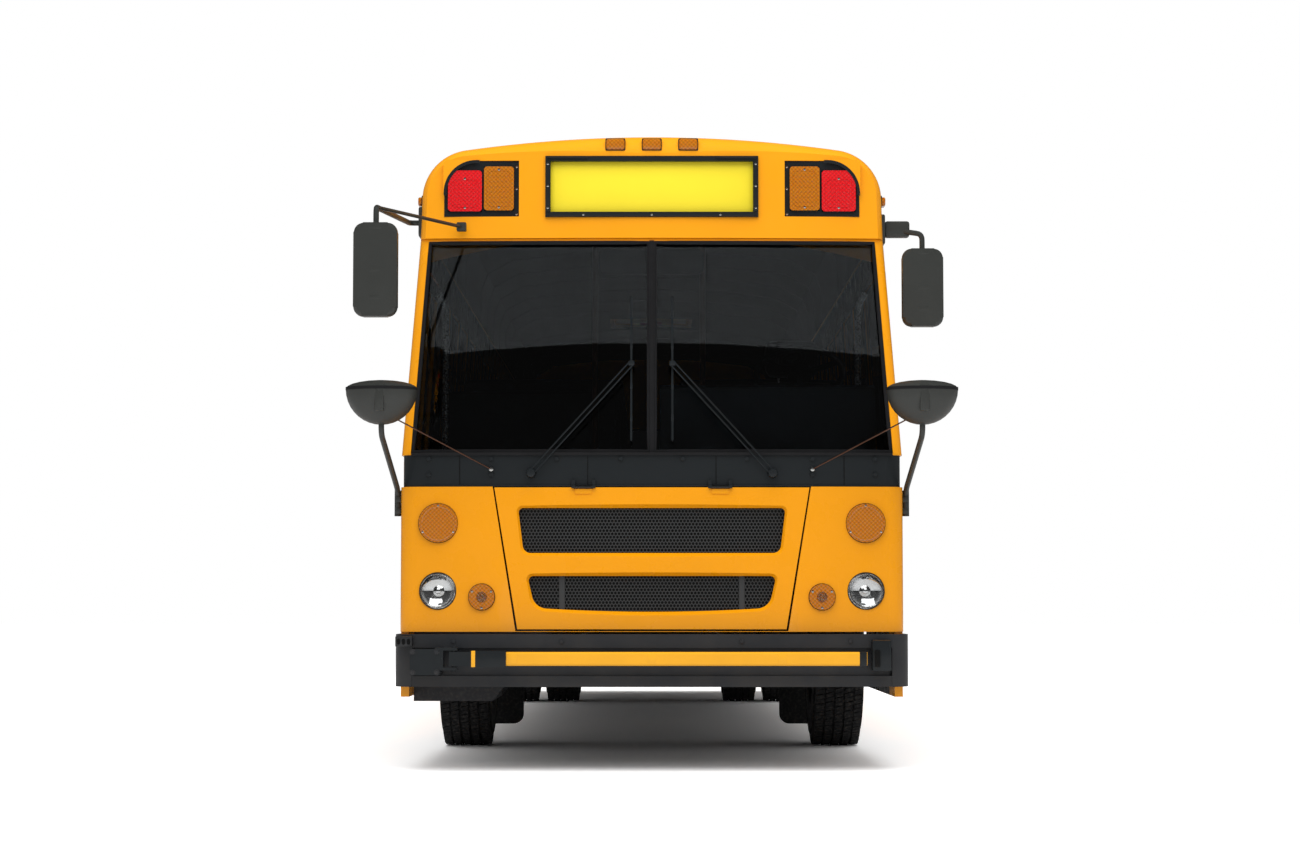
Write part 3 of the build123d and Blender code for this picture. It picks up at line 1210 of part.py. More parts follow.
def cross_mirror(side):
    """Domed wide-view mirror under a low lid, on a tube arm from a foot at the lower corner."""
    x, set_back, low, high = CROSS_MIRROR
    y = FACE + set_back
    wide, deep = CROSS_MIRROR_RADII
    rim = high - CROSS_MIRROR_CAP
    bowl = scale(Sphere(100), by=(wide / 100, deep / 100, (rim - low) / 100))
    lid = scale(Sphere(100), by=(wide / 100, deep / 100, CROSS_MIRROR_CAP / 100))
    head = (bowl & block((-300, 300), (-300, 300), (-300, 0))) + (lid & block((-300, 300), (-300, 300),
                                                                              (0, 300)))
    foot_x, foot_low, foot_high = CROSS_FOOT
    foot_y = FACE + 130
    arm = tube_path([(side * x, y, low + 30), (side * x, y, low - 45), (side * foot_x, foot_y, foot_high),
                     (side * foot_x, foot_y, foot_low)], 26, MIRROR_TUBE)
    for z in (foot_low + 25, foot_high - 45):
        arm = arm + block(sorted((side * (HALF + 0.3), side * foot_x)), (foot_y - 20, foot_y + 20),
                          (z - 9, z + 9))
    return Pos(side * x, y, rim) * head + arm


def mirrors(cap):
    heads = [part for side in (1, -1) for part in (main_mirror(side, cap), cross_mirror(side))]
    write(group(*heads), "mirrors")


def wipers():
    """Two double-rod arms that park upright beside the centre post."""
    parts = []
    for side in (-1, 1):
        pivot = (side * WIPER_X, FACE + 20, WIPER_Z)
        tip_x = side * WIPER_BLADE_X
        tip_z = WIPER_JOINT_Z
        tip_y = glass_y(tip_z) - 60
        boss = rod_y(pivot[0], (pivot[1] - 50, pivot[1] + 25), pivot[2], WIPER_BOSS)
        arm = tube_path([(pivot[0], pivot[1] - 38, pivot[2]), (tip_x, tip_y, tip_z)], 1, 9)
        blade_low, blade_high = WIPER_BLADE
        blade = along_x([(glass_y(blade_low) - 38, blade_low), (glass_y(blade_low) - 12, blade_low),
                         (glass_y(blade_high) - 12, blade_high), (glass_y(blade_high) - 38, blade_high)],
                        tip_x - 8, tip_x + 8)
        link = rod_y(tip_x, (tip_y - 10, tip_y + 40), tip_z, 11)
        parts.append(boss + arm + blade + link)
    write(group(*parts), "wipers")


def mud_flaps():
    flaps = []
    for y, x in ((FRONT_AXLE + ARCH_RADIUS + 40, (760, 1160)), (REAR_AXLE + ARCH_RADIUS + 40, (590, 1160))):
        flap = block(x, (y, y + 10), (90, FLOOR_TOP - FLOOR_THICK - SOFT_GAP))
        flap = fillet(flap.edges().filter_by(Axis.Y).group_by(Axis.Z)[0], 60)
        flaps.append(flap)
        flaps.append(mirrored(flap))
    write(group(*flaps), "mud_flaps")


# Doors
def entrance_doors():
    """Two leaves that meet in the middle of the doorway, each with a tall window."""
    start = FACE + DOOR_FRONT
    width = DOOR_WIDTH / 2
    for name, low, high in (("front", start + DOOR_GAP, start + width - DOOR_GAP / 2),
                            ("rear", start + width + DOOR_GAP / 2, start + DOOR_WIDTH - DOOR_GAP)):
        leaf = side_slab(0, WALL - 4, DOOR_BOTTOM, DOOR_TOP - DOOR_GAP, low, high)
        middle = (low + high) / 2
        opening = (high - low) - 110
        for z_low, z_high in ((DOOR_BOTTOM + 90, BELT - 60), (BELT + 30, DOOR_TOP - 90)):
            leaf = leaf - block((HALF - 300, HALF + 10), (middle - opening / 2, middle + opening / 2),
                                (z_low, z_high))
        panes = [side_slab(12, 12 + PANE, z_low, z_high, middle - opening / 2, middle + opening / 2)
                 for z_low, z_high in ((DOOR_BOTTOM + 90, BELT - 60), (BELT + 30, DOOR_TOP - 90))]
        hinges = front_leaf_hinges() if name == "front" else rear_leaf_hinges()
        leaf = fuse(leaf, hinges[1])
        write(mirrored(leaf), f"entry_leaf_{name}")
        write(mirrored(group(*panes)), f"entry_glass_{name}")


def exit_door():
    """Emergency door in the left side, hinged at its front edge."""
    middle = windows_along(EXIT_WINDOW, EXIT_WINDOW + 1)[0]
    low, high = middle - EXIT_WIDTH / 2 + DOOR_GAP, middle + EXIT_WIDTH / 2 - DOOR_GAP
    leaf = side_slab(0, WALL - 4, EXIT_BOTTOM + DOOR_GAP, EXIT_TOP - DOOR_GAP, low, high)
    half = EXIT_WIDTH / 2 - 85
    leaf = leaf - block((HALF - 300, HALF + 10), (middle - half, middle + half),
                        (WINDOW_SILL, WINDOW_TOP - 60))
    leaf = fuse(leaf, exit_hinges()[1])
    write(leaf, "exit_door")
    write(side_slab(12, 12 + PANE, WINDOW_SILL, WINDOW_TOP - 60, middle - half, middle + half),
          "exit_glass")


# Cabin
def seat_rows(side):
    """Front edge of each bench along one side, leaving the emergency door's passage free."""
    places = []
    for i in range(12):
        y = FACE + SEAT_FIRST + i * WINDOW_PITCH
        passage = windows_along(EXIT_WINDOW, EXIT_WINDOW + 1)[0]
        if side > 0 and abs(y + 300 - passage) < 380:
            continue
        places.append(y)
    return places


def seats():
    """Benches: a cushion, a tall padded back and a tube frame with its foot on the floor."""
    cushions, backs, frames = [], [], []
    outer = HALF - WALL - SEAT_WALL_GAP - 40
    for side in (-1, 1):
        for y in seat_rows(side):
            floor_z = FLOOR_TOP
            for axle, half_length in ((FRONT_AXLE, FRONT_BOX_HALF), (REAR_AXLE, REAR_BOX_HALF)):
                if y + 80 < axle + half_length and y + 380 > axle - half_length:
                    floor_z = WHEEL_BOX_TOP
            if y + 560 > FACE + DECK_START:
                floor_z = ENGINE_DECK
            base = max(FLOOR_TOP + SEAT_HEIGHT, floor_z + 200)
            x = sorted((side * (outer - SEAT_WIDTH), side * outer))
            cushions.append(block(x, (y, y + SEAT_DEPTH), (base - CUSHION_THICK, base)))
            back_y = y + SEAT_DEPTH + SOFT_GAP
            backs.append(block(x, (back_y, back_y + SEAT_BACK_THICK),
                               (base - CUSHION_THICK, base + SEAT_BACK_HEIGHT)))
            under = base - CUSHION_THICK - SOFT_GAP
            bar_x = (x[0] + 10, x[1] - 10)
            frames.append(block(bar_x, (y + 40, y + 80), (under - 30, under))
                          + block(bar_x, (y + 380, y + 420), (under - 30, under))
                          + block((x[0] + 60, x[0] + 100), (y + 40, y + 420), (under - 30, under))
                          + block((x[1] - 100, x[1] - 60), (y + 40, y + 420), (under - 30, under))
                          + block((side * 640 - 20, side * 640 + 20), (y + 80, y + 380), (floor_z, under)))
    write(group(*cushions), "seat_cushions")
    write(group(*backs, *barriers()), "seat_backs")
    write(group(*frames), "seat_frames")


def barriers():
    """Padded screens ahead of the first benches, each on two feet."""
    screens = []
    for side, y in ((-1, FACE + 1800), (1, FACE + 1950)):
        x = sorted((side * 190, side * 1140))
        screen = block(x, (y, y + 50), (FLOOR_TOP + 260, 1975))
        for foot, floor_z in ((230, FLOOR_TOP), (1080, WHEEL_BOX_TOP)):
            screen = screen + block((side * foot - 20, side * foot + 20), (y + 5, y + 45),
                                    (floor_z, FLOOR_TOP + 280))
        screens.append(screen)
    return screens


def driver_place():
    """Dashboard, steering column and wheel, and the driver's high-backed seat."""
    front = FACE + FRONT_JOINT + 0.5
    profile = [(front, FLOOR_TOP), (front, 1500), (front + 60, 1540), (front + 60, 1880),
               (front + 150, 1900),
               (front + 330, 1860), (front + 380, 1740), (front + 300, 1500), (front + 180, 1300),
               (front + 180, FLOOR_TOP)]
    dash = along_x(profile, 40, 1120)
    x, y, z = WHEEL_CENTRE[0], FACE + WHEEL_CENTRE[1], WHEEL_CENTRE[2]
    place = Pos(x, y, z) * Rot(-WHEEL_TILT, 0, 0)
    rim = Torus(222, 15)
    hub = Cylinder(62, 50)
    wheel = rim + hub
    for angle in (0, 120, 240):
        wheel = wheel + Rot(0, 0, angle) * (Pos(0, 140, -8) * Box(34, 170, 12))
    wheel = wheel - Pos(0, 0, -30) * Cylinder(14 + RUNNING_GAP, 40)
    write(place * wheel, "steering_wheel")
    column = Pos(0, 0, -30 - 120) * Cylinder(14, 275)
    jacket = Pos(0, 0, -300) * Cylinder(38, 430)
    lower = place * (column + jacket)
    write(dash + lower, "dashboard")
    base = block((530, 1000), (y + 280, y + 720), (FLOOR_TOP, FLOOR_TOP + 380))
    base = base + block((560, 970), (y + 700, y + 719), (FLOOR_TOP + 300, FLOOR_TOP + 520))
    cushion = block((515, 1015), (y + 250, y + 690), (FLOOR_TOP + 380.3, FLOOR_TOP + 520))
    back = block((515, 1015), (y + 720, y + 830), (FLOOR_TOP + 380.3, FLOOR_TOP + 1240))
    write(group(base, cushion, back), "driver_seat")


side_walls()
side_glass()
rub_rails()
roof()
roof_hatches()
cap_shape = front_cap()
write(cap_shape, "front_cap")
front_panel()
cowl()
windshield_frame()
windshield()
rear_wall()
floor()
stepwell()
wheels()
front_axle()
steering_gear()
rear_axle()
springs()
chassis_frame()
cross_members()
driveline()
bumper_shape = front_bumper()
bumpers(bumper_shape)
gates(bumper_shape)
lamps(cap_shape)
mirrors(cap_shape)
wipers()
mud_flaps()
entrance_doors()
exit_door()
seats()
driver_place()
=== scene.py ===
import math

import bmesh
import bpy
from mathutils import Matrix, Vector


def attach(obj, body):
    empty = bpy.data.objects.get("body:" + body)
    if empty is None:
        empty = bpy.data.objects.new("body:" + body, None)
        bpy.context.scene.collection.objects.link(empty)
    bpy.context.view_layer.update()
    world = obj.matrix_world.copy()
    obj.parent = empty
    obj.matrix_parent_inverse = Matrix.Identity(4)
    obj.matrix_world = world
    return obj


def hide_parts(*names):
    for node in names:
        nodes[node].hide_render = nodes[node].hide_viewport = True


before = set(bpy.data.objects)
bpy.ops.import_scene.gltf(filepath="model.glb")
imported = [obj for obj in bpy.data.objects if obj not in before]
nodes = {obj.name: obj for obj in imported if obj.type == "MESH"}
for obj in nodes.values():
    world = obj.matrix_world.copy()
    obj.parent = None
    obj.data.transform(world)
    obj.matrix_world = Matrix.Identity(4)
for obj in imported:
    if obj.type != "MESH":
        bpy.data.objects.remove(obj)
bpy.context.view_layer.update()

# A flat-front school bus in its studio. Metres, +Z up, the bus faces -Y and its driver sits on +X.

# Places on the bus, as the part's source has them
FACE_Y = -5.745
TAIL = 6.295
HALF = 1.219
ROOF_TOP = 3.132
FLOOR_TOP = 1.0
BELT = 1.55
GUTTER = (1.154, 2.612)
SIDE_LEAN = (HALF - GUTTER[0]) / (GUTTER[1] - BELT)
FRONT_BOW = 0.034
COWL_TOP = 1.529
GLASS_SET_BACK = 0.045
GLASS_SLOPE = 0.25 / (GUTTER[1] - COWL_TOP)
CAP_FACE = -5.465
WHEEL_RADIUS = 0.525
FRONT_AXLE = -3.295
REAR_AXLE = 3.705
BUMPER_FRONT = FACE_Y - 0.090
ROOF_HATCHES = (FACE_Y + 3.600, FACE_Y + 8.700)
HATCH_HALF = 0.330
SIDES = (-1, 1)
AHEAD = (0, -1, 0)


def bow(x):
    """How far the bowed front falls back at a distance from its middle."""
    return FRONT_BOW * (x / HALF) ** 2


def face_y(x):
    return FACE_Y + bow(x)


def glass_y(x, z):
    return FACE_Y + GLASS_SET_BACK + (z - COWL_TOP) * GLASS_SLOPE + bow(x)


def side_x(z):
    return HALF - max(0, z - BELT) * SIDE_LEAN


# Finishes
class Finish:
    """A material and the nodes that it is made of."""

    def __init__(self, name, colour, roughness, **fixed):
        self.material = bpy.data.materials.new(name)
        self.material.use_nodes = True
        self.tree = self.material.node_tree
        self.surface = self.tree.nodes["Principled BSDF"]
        self.set(self.surface, {"Base Color": (*colour, 1), "Roughness": roughness, **fixed})
        self.places = self.add("ShaderNodeTexCoord").outputs["Object"]

    def set(self, node, values):
        for key, value in values.items():
            socket = node.inputs[key]
            if isinstance(value, bpy.types.NodeSocket):
                self.tree.links.new(value, socket)
            else:
                socket.default_value = value

    def add(self, kind, values=None, **settings):
        node = self.tree.nodes.new(kind)
        for key, value in settings.items():
            setattr(node, key, value)
        self.set(node, values or {})
        return node

    def math(self, operation, *values):
        return self.add("ShaderNodeMath", dict(enumerate(values)), operation=operation).outputs[0]

    def noise(self, scale, detail=3, stretch=None):
        places = self.places
        if stretch:
            places = self.add("ShaderNodeMapping", {"Vector": places, "Scale": stretch}).outputs["Vector"]
        return self.add("ShaderNodeTexNoise", {"Vector": places, "Scale": scale,
                                               "Detail": detail}).outputs["Fac"]

    def ramp(self, value, low, high, start, end):
        """A value between two limits, stretched to start..end."""
        node = self.add("ShaderNodeMapRange", {"Value": value, "From Min": low, "From Max": high,
                                               "To Min": start, "To Max": end})
        return node.outputs["Result"]

    def height(self):
        return self.add("ShaderNodeSeparateXYZ", {"Vector": self.places}).outputs["Z"]

    def blend(self, factor, first, second):
        node = self.add("ShaderNodeMix", data_type="RGBA")
        node.inputs[0].default_value = 0.5
        self.tree.links.new(factor, node.inputs[0])
        for index, value in ((6, first), (7, second)):
            if isinstance(value, bpy.types.NodeSocket):
                self.tree.links.new(value, node.inputs[index])
            else:
                node.inputs[index].default_value = (*value, 1)
        return node.outputs[2]

    def colour(self, socket):
        self.tree.links.new(socket, self.surface.inputs["Base Color"])

    def rough(self, socket):
        self.tree.links.new(socket, self.surface.inputs["Roughness"])

    def bump(self, socket, distance, strength=1.0):
        node = self.add("ShaderNodeBump", {"Height": socket, "Distance": distance, "Strength": strength})
        self.tree.links.new(node.outputs["Normal"], self.surface.inputs["Normal"])


def shade(colour, factor):
    return tuple(min(1, channel * factor) for channel in colour)


# The hatch's hinges: place and reach of the shadow over them
HINGE_X, HINGE_REACH_X = 0.330, 0.046
HINGE_Z, HINGE_REACH_Z = 1.369, 0.0155
# The painted shade's colour, laid over the hinges in the joint's shadow
HINGE_SHADE = (0.006, 0.006, 0.006)
# The cabin's inner faces: how far out and how far along they lie
LINER_OUT = 1.186
LINER_MIDDLE, LINER_REACH = (FACE_Y + TAIL) / 2 + 0.18, 5.78
LINER_COLOUR = (0.10, 0.105, 0.11)


def hinge_shadow(finish, base):
    """Blackens the front hatch's two hinges with painted shade, since they sit in the shadowed joint under
    the band.
    """
    split = finish.add("ShaderNodeSeparateXYZ", {"Vector": finish.places}).outputs
    near = finish.math("COMPARE", finish.math("ABSOLUTE", split["X"]), HINGE_X, HINGE_REACH_X)
    high = finish.math("COMPARE", split["Z"], HINGE_Z, HINGE_REACH_Z)
    ahead = finish.math("LESS_THAN", split["Y"], FACE_Y + 0.03)
    mask = finish.math("MULTIPLY", finish.math("MULTIPLY", near, high), ahead)
    return finish.blend(mask, base, HINGE_SHADE)


def inner_grey(finish, base):
    """Grey on the inner faces of the side walls, the doors and the back."""
    split = finish.add("ShaderNodeSeparateXYZ", {"Vector": finish.places}).outputs
    above = finish.math("MAXIMUM", finish.math("SUBTRACT", split["Z"], BELT), 0.0)
    upright = finish.math("MULTIPLY_ADD", above, SIDE_LEAN, finish.math("ABSOLUTE", split["X"]))
    inside = finish.math("LESS_THAN", upright, LINER_OUT)
    along = finish.math("COMPARE", split["Y"], LINER_MIDDLE, LINER_REACH)
    return finish.blend(finish.math("MULTIPLY", inside, along), base, LINER_COLOUR)


def paint(name, colour, roughness=0.28, coat=0.5, dust=0.0, body=False):
    """Sprayed enamel: slight clouding, orange peel under a clear coat, and road film low down."""
    finish = Finish(name, colour, roughness, **{"Coat Weight": coat, "Coat Roughness": 0.08,
                                                "Specular IOR Level": 0.25})
    clouds = finish.ramp(finish.noise(1.7, 4), 0.35, 0.65, 0, 1)
    base = finish.blend(clouds, shade(colour, 0.965), shade(colour, 1.02))
    if dust:
        film = finish.ramp(finish.height(), 0.35, 1.0, dust, 0)
        patch = finish.math("MULTIPLY", film, finish.ramp(finish.noise(6, 6), 0.3, 0.8, 0.2, 1))
        base = finish.blend(patch, base, (0.30, 0.24, 0.17))
    if body:
        # On the body: painted shade blackens the hatch's hinges, and the inner faces turn the liner's grey.
        base = inner_grey(finish, hinge_shadow(finish, base))
    finish.colour(base)
    finish.rough(finish.ramp(finish.noise(9, 5), 0.3, 0.7, roughness * 0.85, roughness * 1.2))
    finish.bump(finish.noise(420, 2), 0.0004, 0.25)
    return finish.material


def moulded(name, colour, roughness=0.5, grain=900, depth=0.0006):
    """Moulded plastic with a fine leather-like grain."""
    finish = Finish(name, colour, roughness, **{"Specular IOR Level": 0.45})
    cells = finish.add("ShaderNodeTexVoronoi", {"Vector": finish.places,
                                                "Scale": grain}).outputs["Distance"]
    finish.colour(finish.blend(finish.noise(5, 4), shade(colour, 0.9), shade(colour, 1.12)))
    finish.rough(finish.ramp(finish.noise(25, 3), 0.3, 0.7, roughness * 0.9, roughness * 1.1))
    finish.bump(cells, depth, 0.35)
    return finish.material


def rubber(name, colour=(0.014, 0.014, 0.015), roughness=0.72, dust=0.0):
    finish = Finish(name, colour, roughness, **{"Specular IOR Level": 0.3})
    base = finish.blend(finish.noise(14, 5), shade(colour, 0.8), shade(colour, 1.3))
    if dust:
        speck = finish.ramp(finish.noise(60, 8), 0.48, 0.72, 0, dust)
        base = finish.blend(speck, base, (0.12, 0.105, 0.09))
    finish.colour(base)
    finish.rough(finish.ramp(finish.noise(40, 4), 0.3, 0.7, roughness * 0.9, min(1, roughness * 1.15)))
    finish.bump(finish.noise(240, 3), 0.0008, 0.35)
    return finish.material


def metal(name, colour, roughness=0.35, brushed=None):
    """Bare or plated metal; a stretch along one axis draws it out into brushing."""
    finish = Finish(name, colour, roughness, Metallic=1.0)
    lines = finish.noise(90, 4, brushed)
    finish.colour(finish.blend(finish.noise(7, 4), shade(colour, 0.85), shade(colour, 1.1)))
    finish.rough(finish.ramp(lines, 0.3, 0.7, roughness * 0.75, roughness * 1.25))
    finish.bump(lines, 0.0003, 0.2)
    return finish.material


def glass(name, colour, roughness=0.0):
    """Window glass, tinted through, with a breath of haze."""
    finish = Finish(name, colour, roughness, **{"Transmission Weight": 1.0, "IOR": 1.45})
    finish.rough(finish.ramp(finish.noise(3, 5), 0.5, 0.9, roughness, roughness + 0.004))
    return finish.material


def lens(name, colour, ribs):
    """A moulded lamp lens with its optics pressed in as square cells."""
    finish = Finish(name, colour, 0.12, **{"Coat Weight": 0.6, "Coat Roughness": 0.04,
                                           "Subsurface Weight": 0.15,
                                           "Subsurface Scale": 0.01})
    split = finish.add("ShaderNodeSeparateXYZ", {"Vector": finish.places}).outputs
    across, up = (finish.math("SINE", finish.math("MULTIPLY", split[axis], ribs)) for axis in ("X", "Z"))
    cells = finish.math("MULTIPLY", across, up)
    finish.colour(finish.blend(finish.ramp(cells, -1, 1, 0, 1), shade(colour, 0.72), shade(colour, 1.15)))
    finish.bump(cells, 0.002, 0.4)
    return finish.material


def vinyl(name, colour):
    """Coated seat cloth: a fine crinkled grain with soft sheen and rubbed high spots."""
    finish = Finish(name, colour, 0.5, **{"Specular IOR Level": 0.4, "Sheen Weight": 0.08})
    crinkle = finish.add("ShaderNodeTexVoronoi", {"Vector": finish.places, "Scale": 330.0},
                         feature="DISTANCE_TO_EDGE").outputs["Distance"]
    finish.colour(finish.blend(finish.noise(4, 5), shade(colour, 0.8), shade(colour, 1.25)))
    finish.rough(finish.ramp(finish.noise(11, 4), 0.3, 0.7, 0.42, 0.6))
    finish.bump(crinkle, 0.0015, 0.4)
    return finish.material


def cloth(name, colour):
    """Woven upholstery: warp and weft threads crossing at a millimetre pitch."""
    finish = Finish(name, colour, 0.9, **{"Sheen Weight": 0.35, "Specular IOR Level": 0.2})
    threads = []
    for axis in ("X", "Y"):
        wave = finish.add("ShaderNodeTexWave", {"Vector": finish.places, "Scale": 260.0, "Distortion": 0.6},
                          bands_direction=axis)
        threads.append(wave.outputs["Fac"])
    weave = finish.math("MULTIPLY", *threads)
    finish.colour(finish.blend(weave, shade(colour, 0.6), shade(colour, 1.35)))
    finish.bump(weave, 0.0015, 0.6)
    return finish.material


YELLOW = (0.88, 0.335, 0.0015)
CAP_YELLOW = (0.90, 0.345, 0.003)
TRIM = (0.013, 0.016, 0.018)
BUMPER = (0.017, 0.020, 0.025)

body_paint = paint("body enamel", YELLOW, dust=0.02, body=True)
cap_paint = paint("cap gel coat", CAP_YELLOW, 0.33, 0.35)
trim_paint = paint("trim satin black", TRIM, 0.42, 0.1)
bumper_paint = paint("bumper satin grey", BUMPER, 0.45, 0.12, dust=0.1)
frame_paint = paint("frame black", (0.014, 0.014, 0.015), 0.6, 0.0, dust=0.5)
wheel_paint = paint("wheel black", (0.013, 0.013, 0.014), 0.4, 0.3, dust=0.5)
sign_paint = paint("stop blade red", (0.62, 0.012, 0.016), 0.35, 0.3)
arm_paint = moulded("crossing arm yellow", (0.92, 0.42, 0.012), 0.38, 700, 0.0004)
mirror_shell = moulded("mirror shell", (0.034, 0.036, 0.033), 0.42, 1400, 0.0004)
dash_shell = moulded("dash shell", (0.055, 0.068, 0.082), 0.55)
floor_rubber = rubber("ribbed floor", (0.03, 0.031, 0.034), 0.7, dust=0.3)
tyre_rubber = rubber("tyre rubber", (0.010, 0.010, 0.011), 0.75, dust=0.35)
flap_rubber = rubber("flap rubber", (0.013, 0.013, 0.014), 0.65, dust=0.25)
seal_rubber = rubber("seal rubber", (0.010, 0.010, 0.011), 0.6)
windshield_glass = glass("windshield glass", (0.24, 0.26, 0.27))
tinted_glass = glass("tinted side glass", (0.20, 0.21, 0.22))
amber_lens = lens("amber lens", (0.50, 0.155, 0.005), 310)
red_lens = lens("red lens", (0.70, 0.010, 0.014), 310)
clear_lens = glass("clear lens", (0.93, 0.94, 0.95), 0.02)
seat_vinyl = vinyl("bench vinyl", (0.045, 0.052, 0.062))
driver_cloth = cloth("driver seat cloth", (0.05, 0.052, 0.058))
mesh_paint = paint("grille black", (0.045, 0.047, 0.048), 0.5, 0.0)
engine_iron = metal("engine iron", (0.20, 0.20, 0.20), 0.6)
spring_metal = metal("spring steel", (0.07, 0.068, 0.065), 0.6, (1, 0.1, 1))
exhaust_metal = metal("exhaust steel", (0.32, 0.27, 0.22), 0.45)
bright_metal = metal("bright zinc", (0.62, 0.62, 0.60), 0.28)
chrome = metal("reflector chrome", (0.80, 0.80, 0.79), 0.07)
mirror_face = metal("mirror face", (0.86, 0.87, 0.88), 0.03)
copper_rod = metal("mirror rod", (0.16, 0.085, 0.06), 0.35)
sign_field = paint("blank board", (0.92, 0.74, 0.030), 0.45, 0.1)
liner_grey = paint("cabin liner", (0.022, 0.023, 0.025), 0.5, 0.0)
liner_grey.node_tree.nodes["Principled BSDF"].inputs["Specular IOR Level"].default_value = 0.0
aluminium = metal("window aluminium", (0.55, 0.56, 0.57), 0.35, (1, 0.08, 1))
welt_cord = vinyl("bench welt", (0.020, 0.022, 0.026))
gauge_white = paint("gauge white", (0.75, 0.75, 0.72), 0.4, 0.3)
# Near-black: painted shade behind the grille openings and in the catch's slots, and the cowl's dark seams
shade_and_seam_black = rubber("painted shade and seam black", (0.004, 0.004, 0.004), 0.8)

node_finish = {
    body_paint: ("side_wall_left", "side_wall_right", "rear_wall", "front_panel", "windshield_frame",
                 "front_hatch",
                 "entry_leaf_front", "entry_leaf_rear", "exit_door", "engine_hatch"),
    cap_paint: ("roof", "front_cap", "roof_hatch_front", "roof_hatch_rear"),
    trim_paint: ("cowl", "rub_rails", "gate_mounts", "cap_frames", "wipers", "steering_wheel"),
    bumper_paint: ("bumpers",),
    frame_paint: ("chassis_frame", "cross_members", "front_axle", "rear_axle", "knuckle_left",
                  "knuckle_right", "tanks", "seat_frames"),
    spring_metal: ("leaf_springs", "tie_rod"),
    wheel_paint: ("front_rim_left", "front_rim_right", "rear_rims_left", "rear_rims_right"),
    tyre_rubber: ("front_tyre_left", "front_tyre_right", "rear_tyres_left", "rear_tyres_right"),
    flap_rubber: ("mud_flaps",),
    floor_rubber: ("floor", "stepwell"),
    windshield_glass: ("windshield",),
    tinted_glass: ("body_glass", "entry_glass_front", "entry_glass_rear", "exit_glass"),
    amber_lens: ("amber_lenses",),
    red_lens: ("red_lenses",),
    clear_lens: ("clear_lenses",),
    mesh_paint: ("hatch_mesh",),
    engine_iron: ("engine_and_gearbox",),
    exhaust_metal: ("exhaust",),
    arm_paint: ("crossing_arm",),
    sign_paint: ("stop_blade",),
    mirror_shell: ("mirrors",),
    dash_shell: ("dashboard",),
    driver_cloth: ("driver_seat",),
    seat_vinyl: ("seat_cushions", "seat_backs"),
}
for material, names in node_finish.items():
    for name in names:
        data = nodes[name].data
        data.materials.clear()
        data.materials.append(material)


# Shapes
def frame_of(axis):
    """Two directions across an axis, then the axis itself."""
    return {"X": (Vector((0, 1, 0)), Vector((0, 0, 1)), Vector((1, 0, 0))),
            "Y": (Vector((1, 0, 0)), Vector((0, 0, 1)), Vector((0, 1, 0))),
            "Z": (Vector((1, 0, 0)), Vector((0, 1, 0)), Vector((0, 0, 1)))}[axis]


def rounded_path(points, bend, steps=5):
    """Straight runs with their corners rounded off."""
    points = [Vector(point) for point in points]
    path = [points[0]]
    for before, corner, after in zip(points, points[1:], points[2:]):
        first = before - corner
        second = after - corner
        reach = min(bend, first.length / 2, second.length / 2)
        start = corner + first.normalized() * reach
        end = corner + second.normalized() * reach
        for step in range(steps + 1):
            t = step / steps
            path.append(start * (1 - t) ** 2 + corner * 2 * t * (1 - t) + end * t * t)
    path.append(points[-1])
    return path


def circle(radius, sides=10):
    return [(radius * math.cos(2 * math.pi * i / sides), radius * math.sin(2 * math.pi * i / sides))
            for i in range(sides)]


def round_rect(half_wide, half_tall, radius, steps=4):
    """An outline with rounded corners."""
    outline = []
    for turn, (sx, sy) in enumerate(((1, 1), (-1, 1), (-1, -1), (1, -1))):
        for step in range(steps + 1):
            angle = math.radians(90 * (turn + step / steps))
            outline.append((sx * (half_wide - radius) + radius * math.cos(angle),
                            sy * (half_tall - radius) + radius * math.sin(angle)))
    return outline


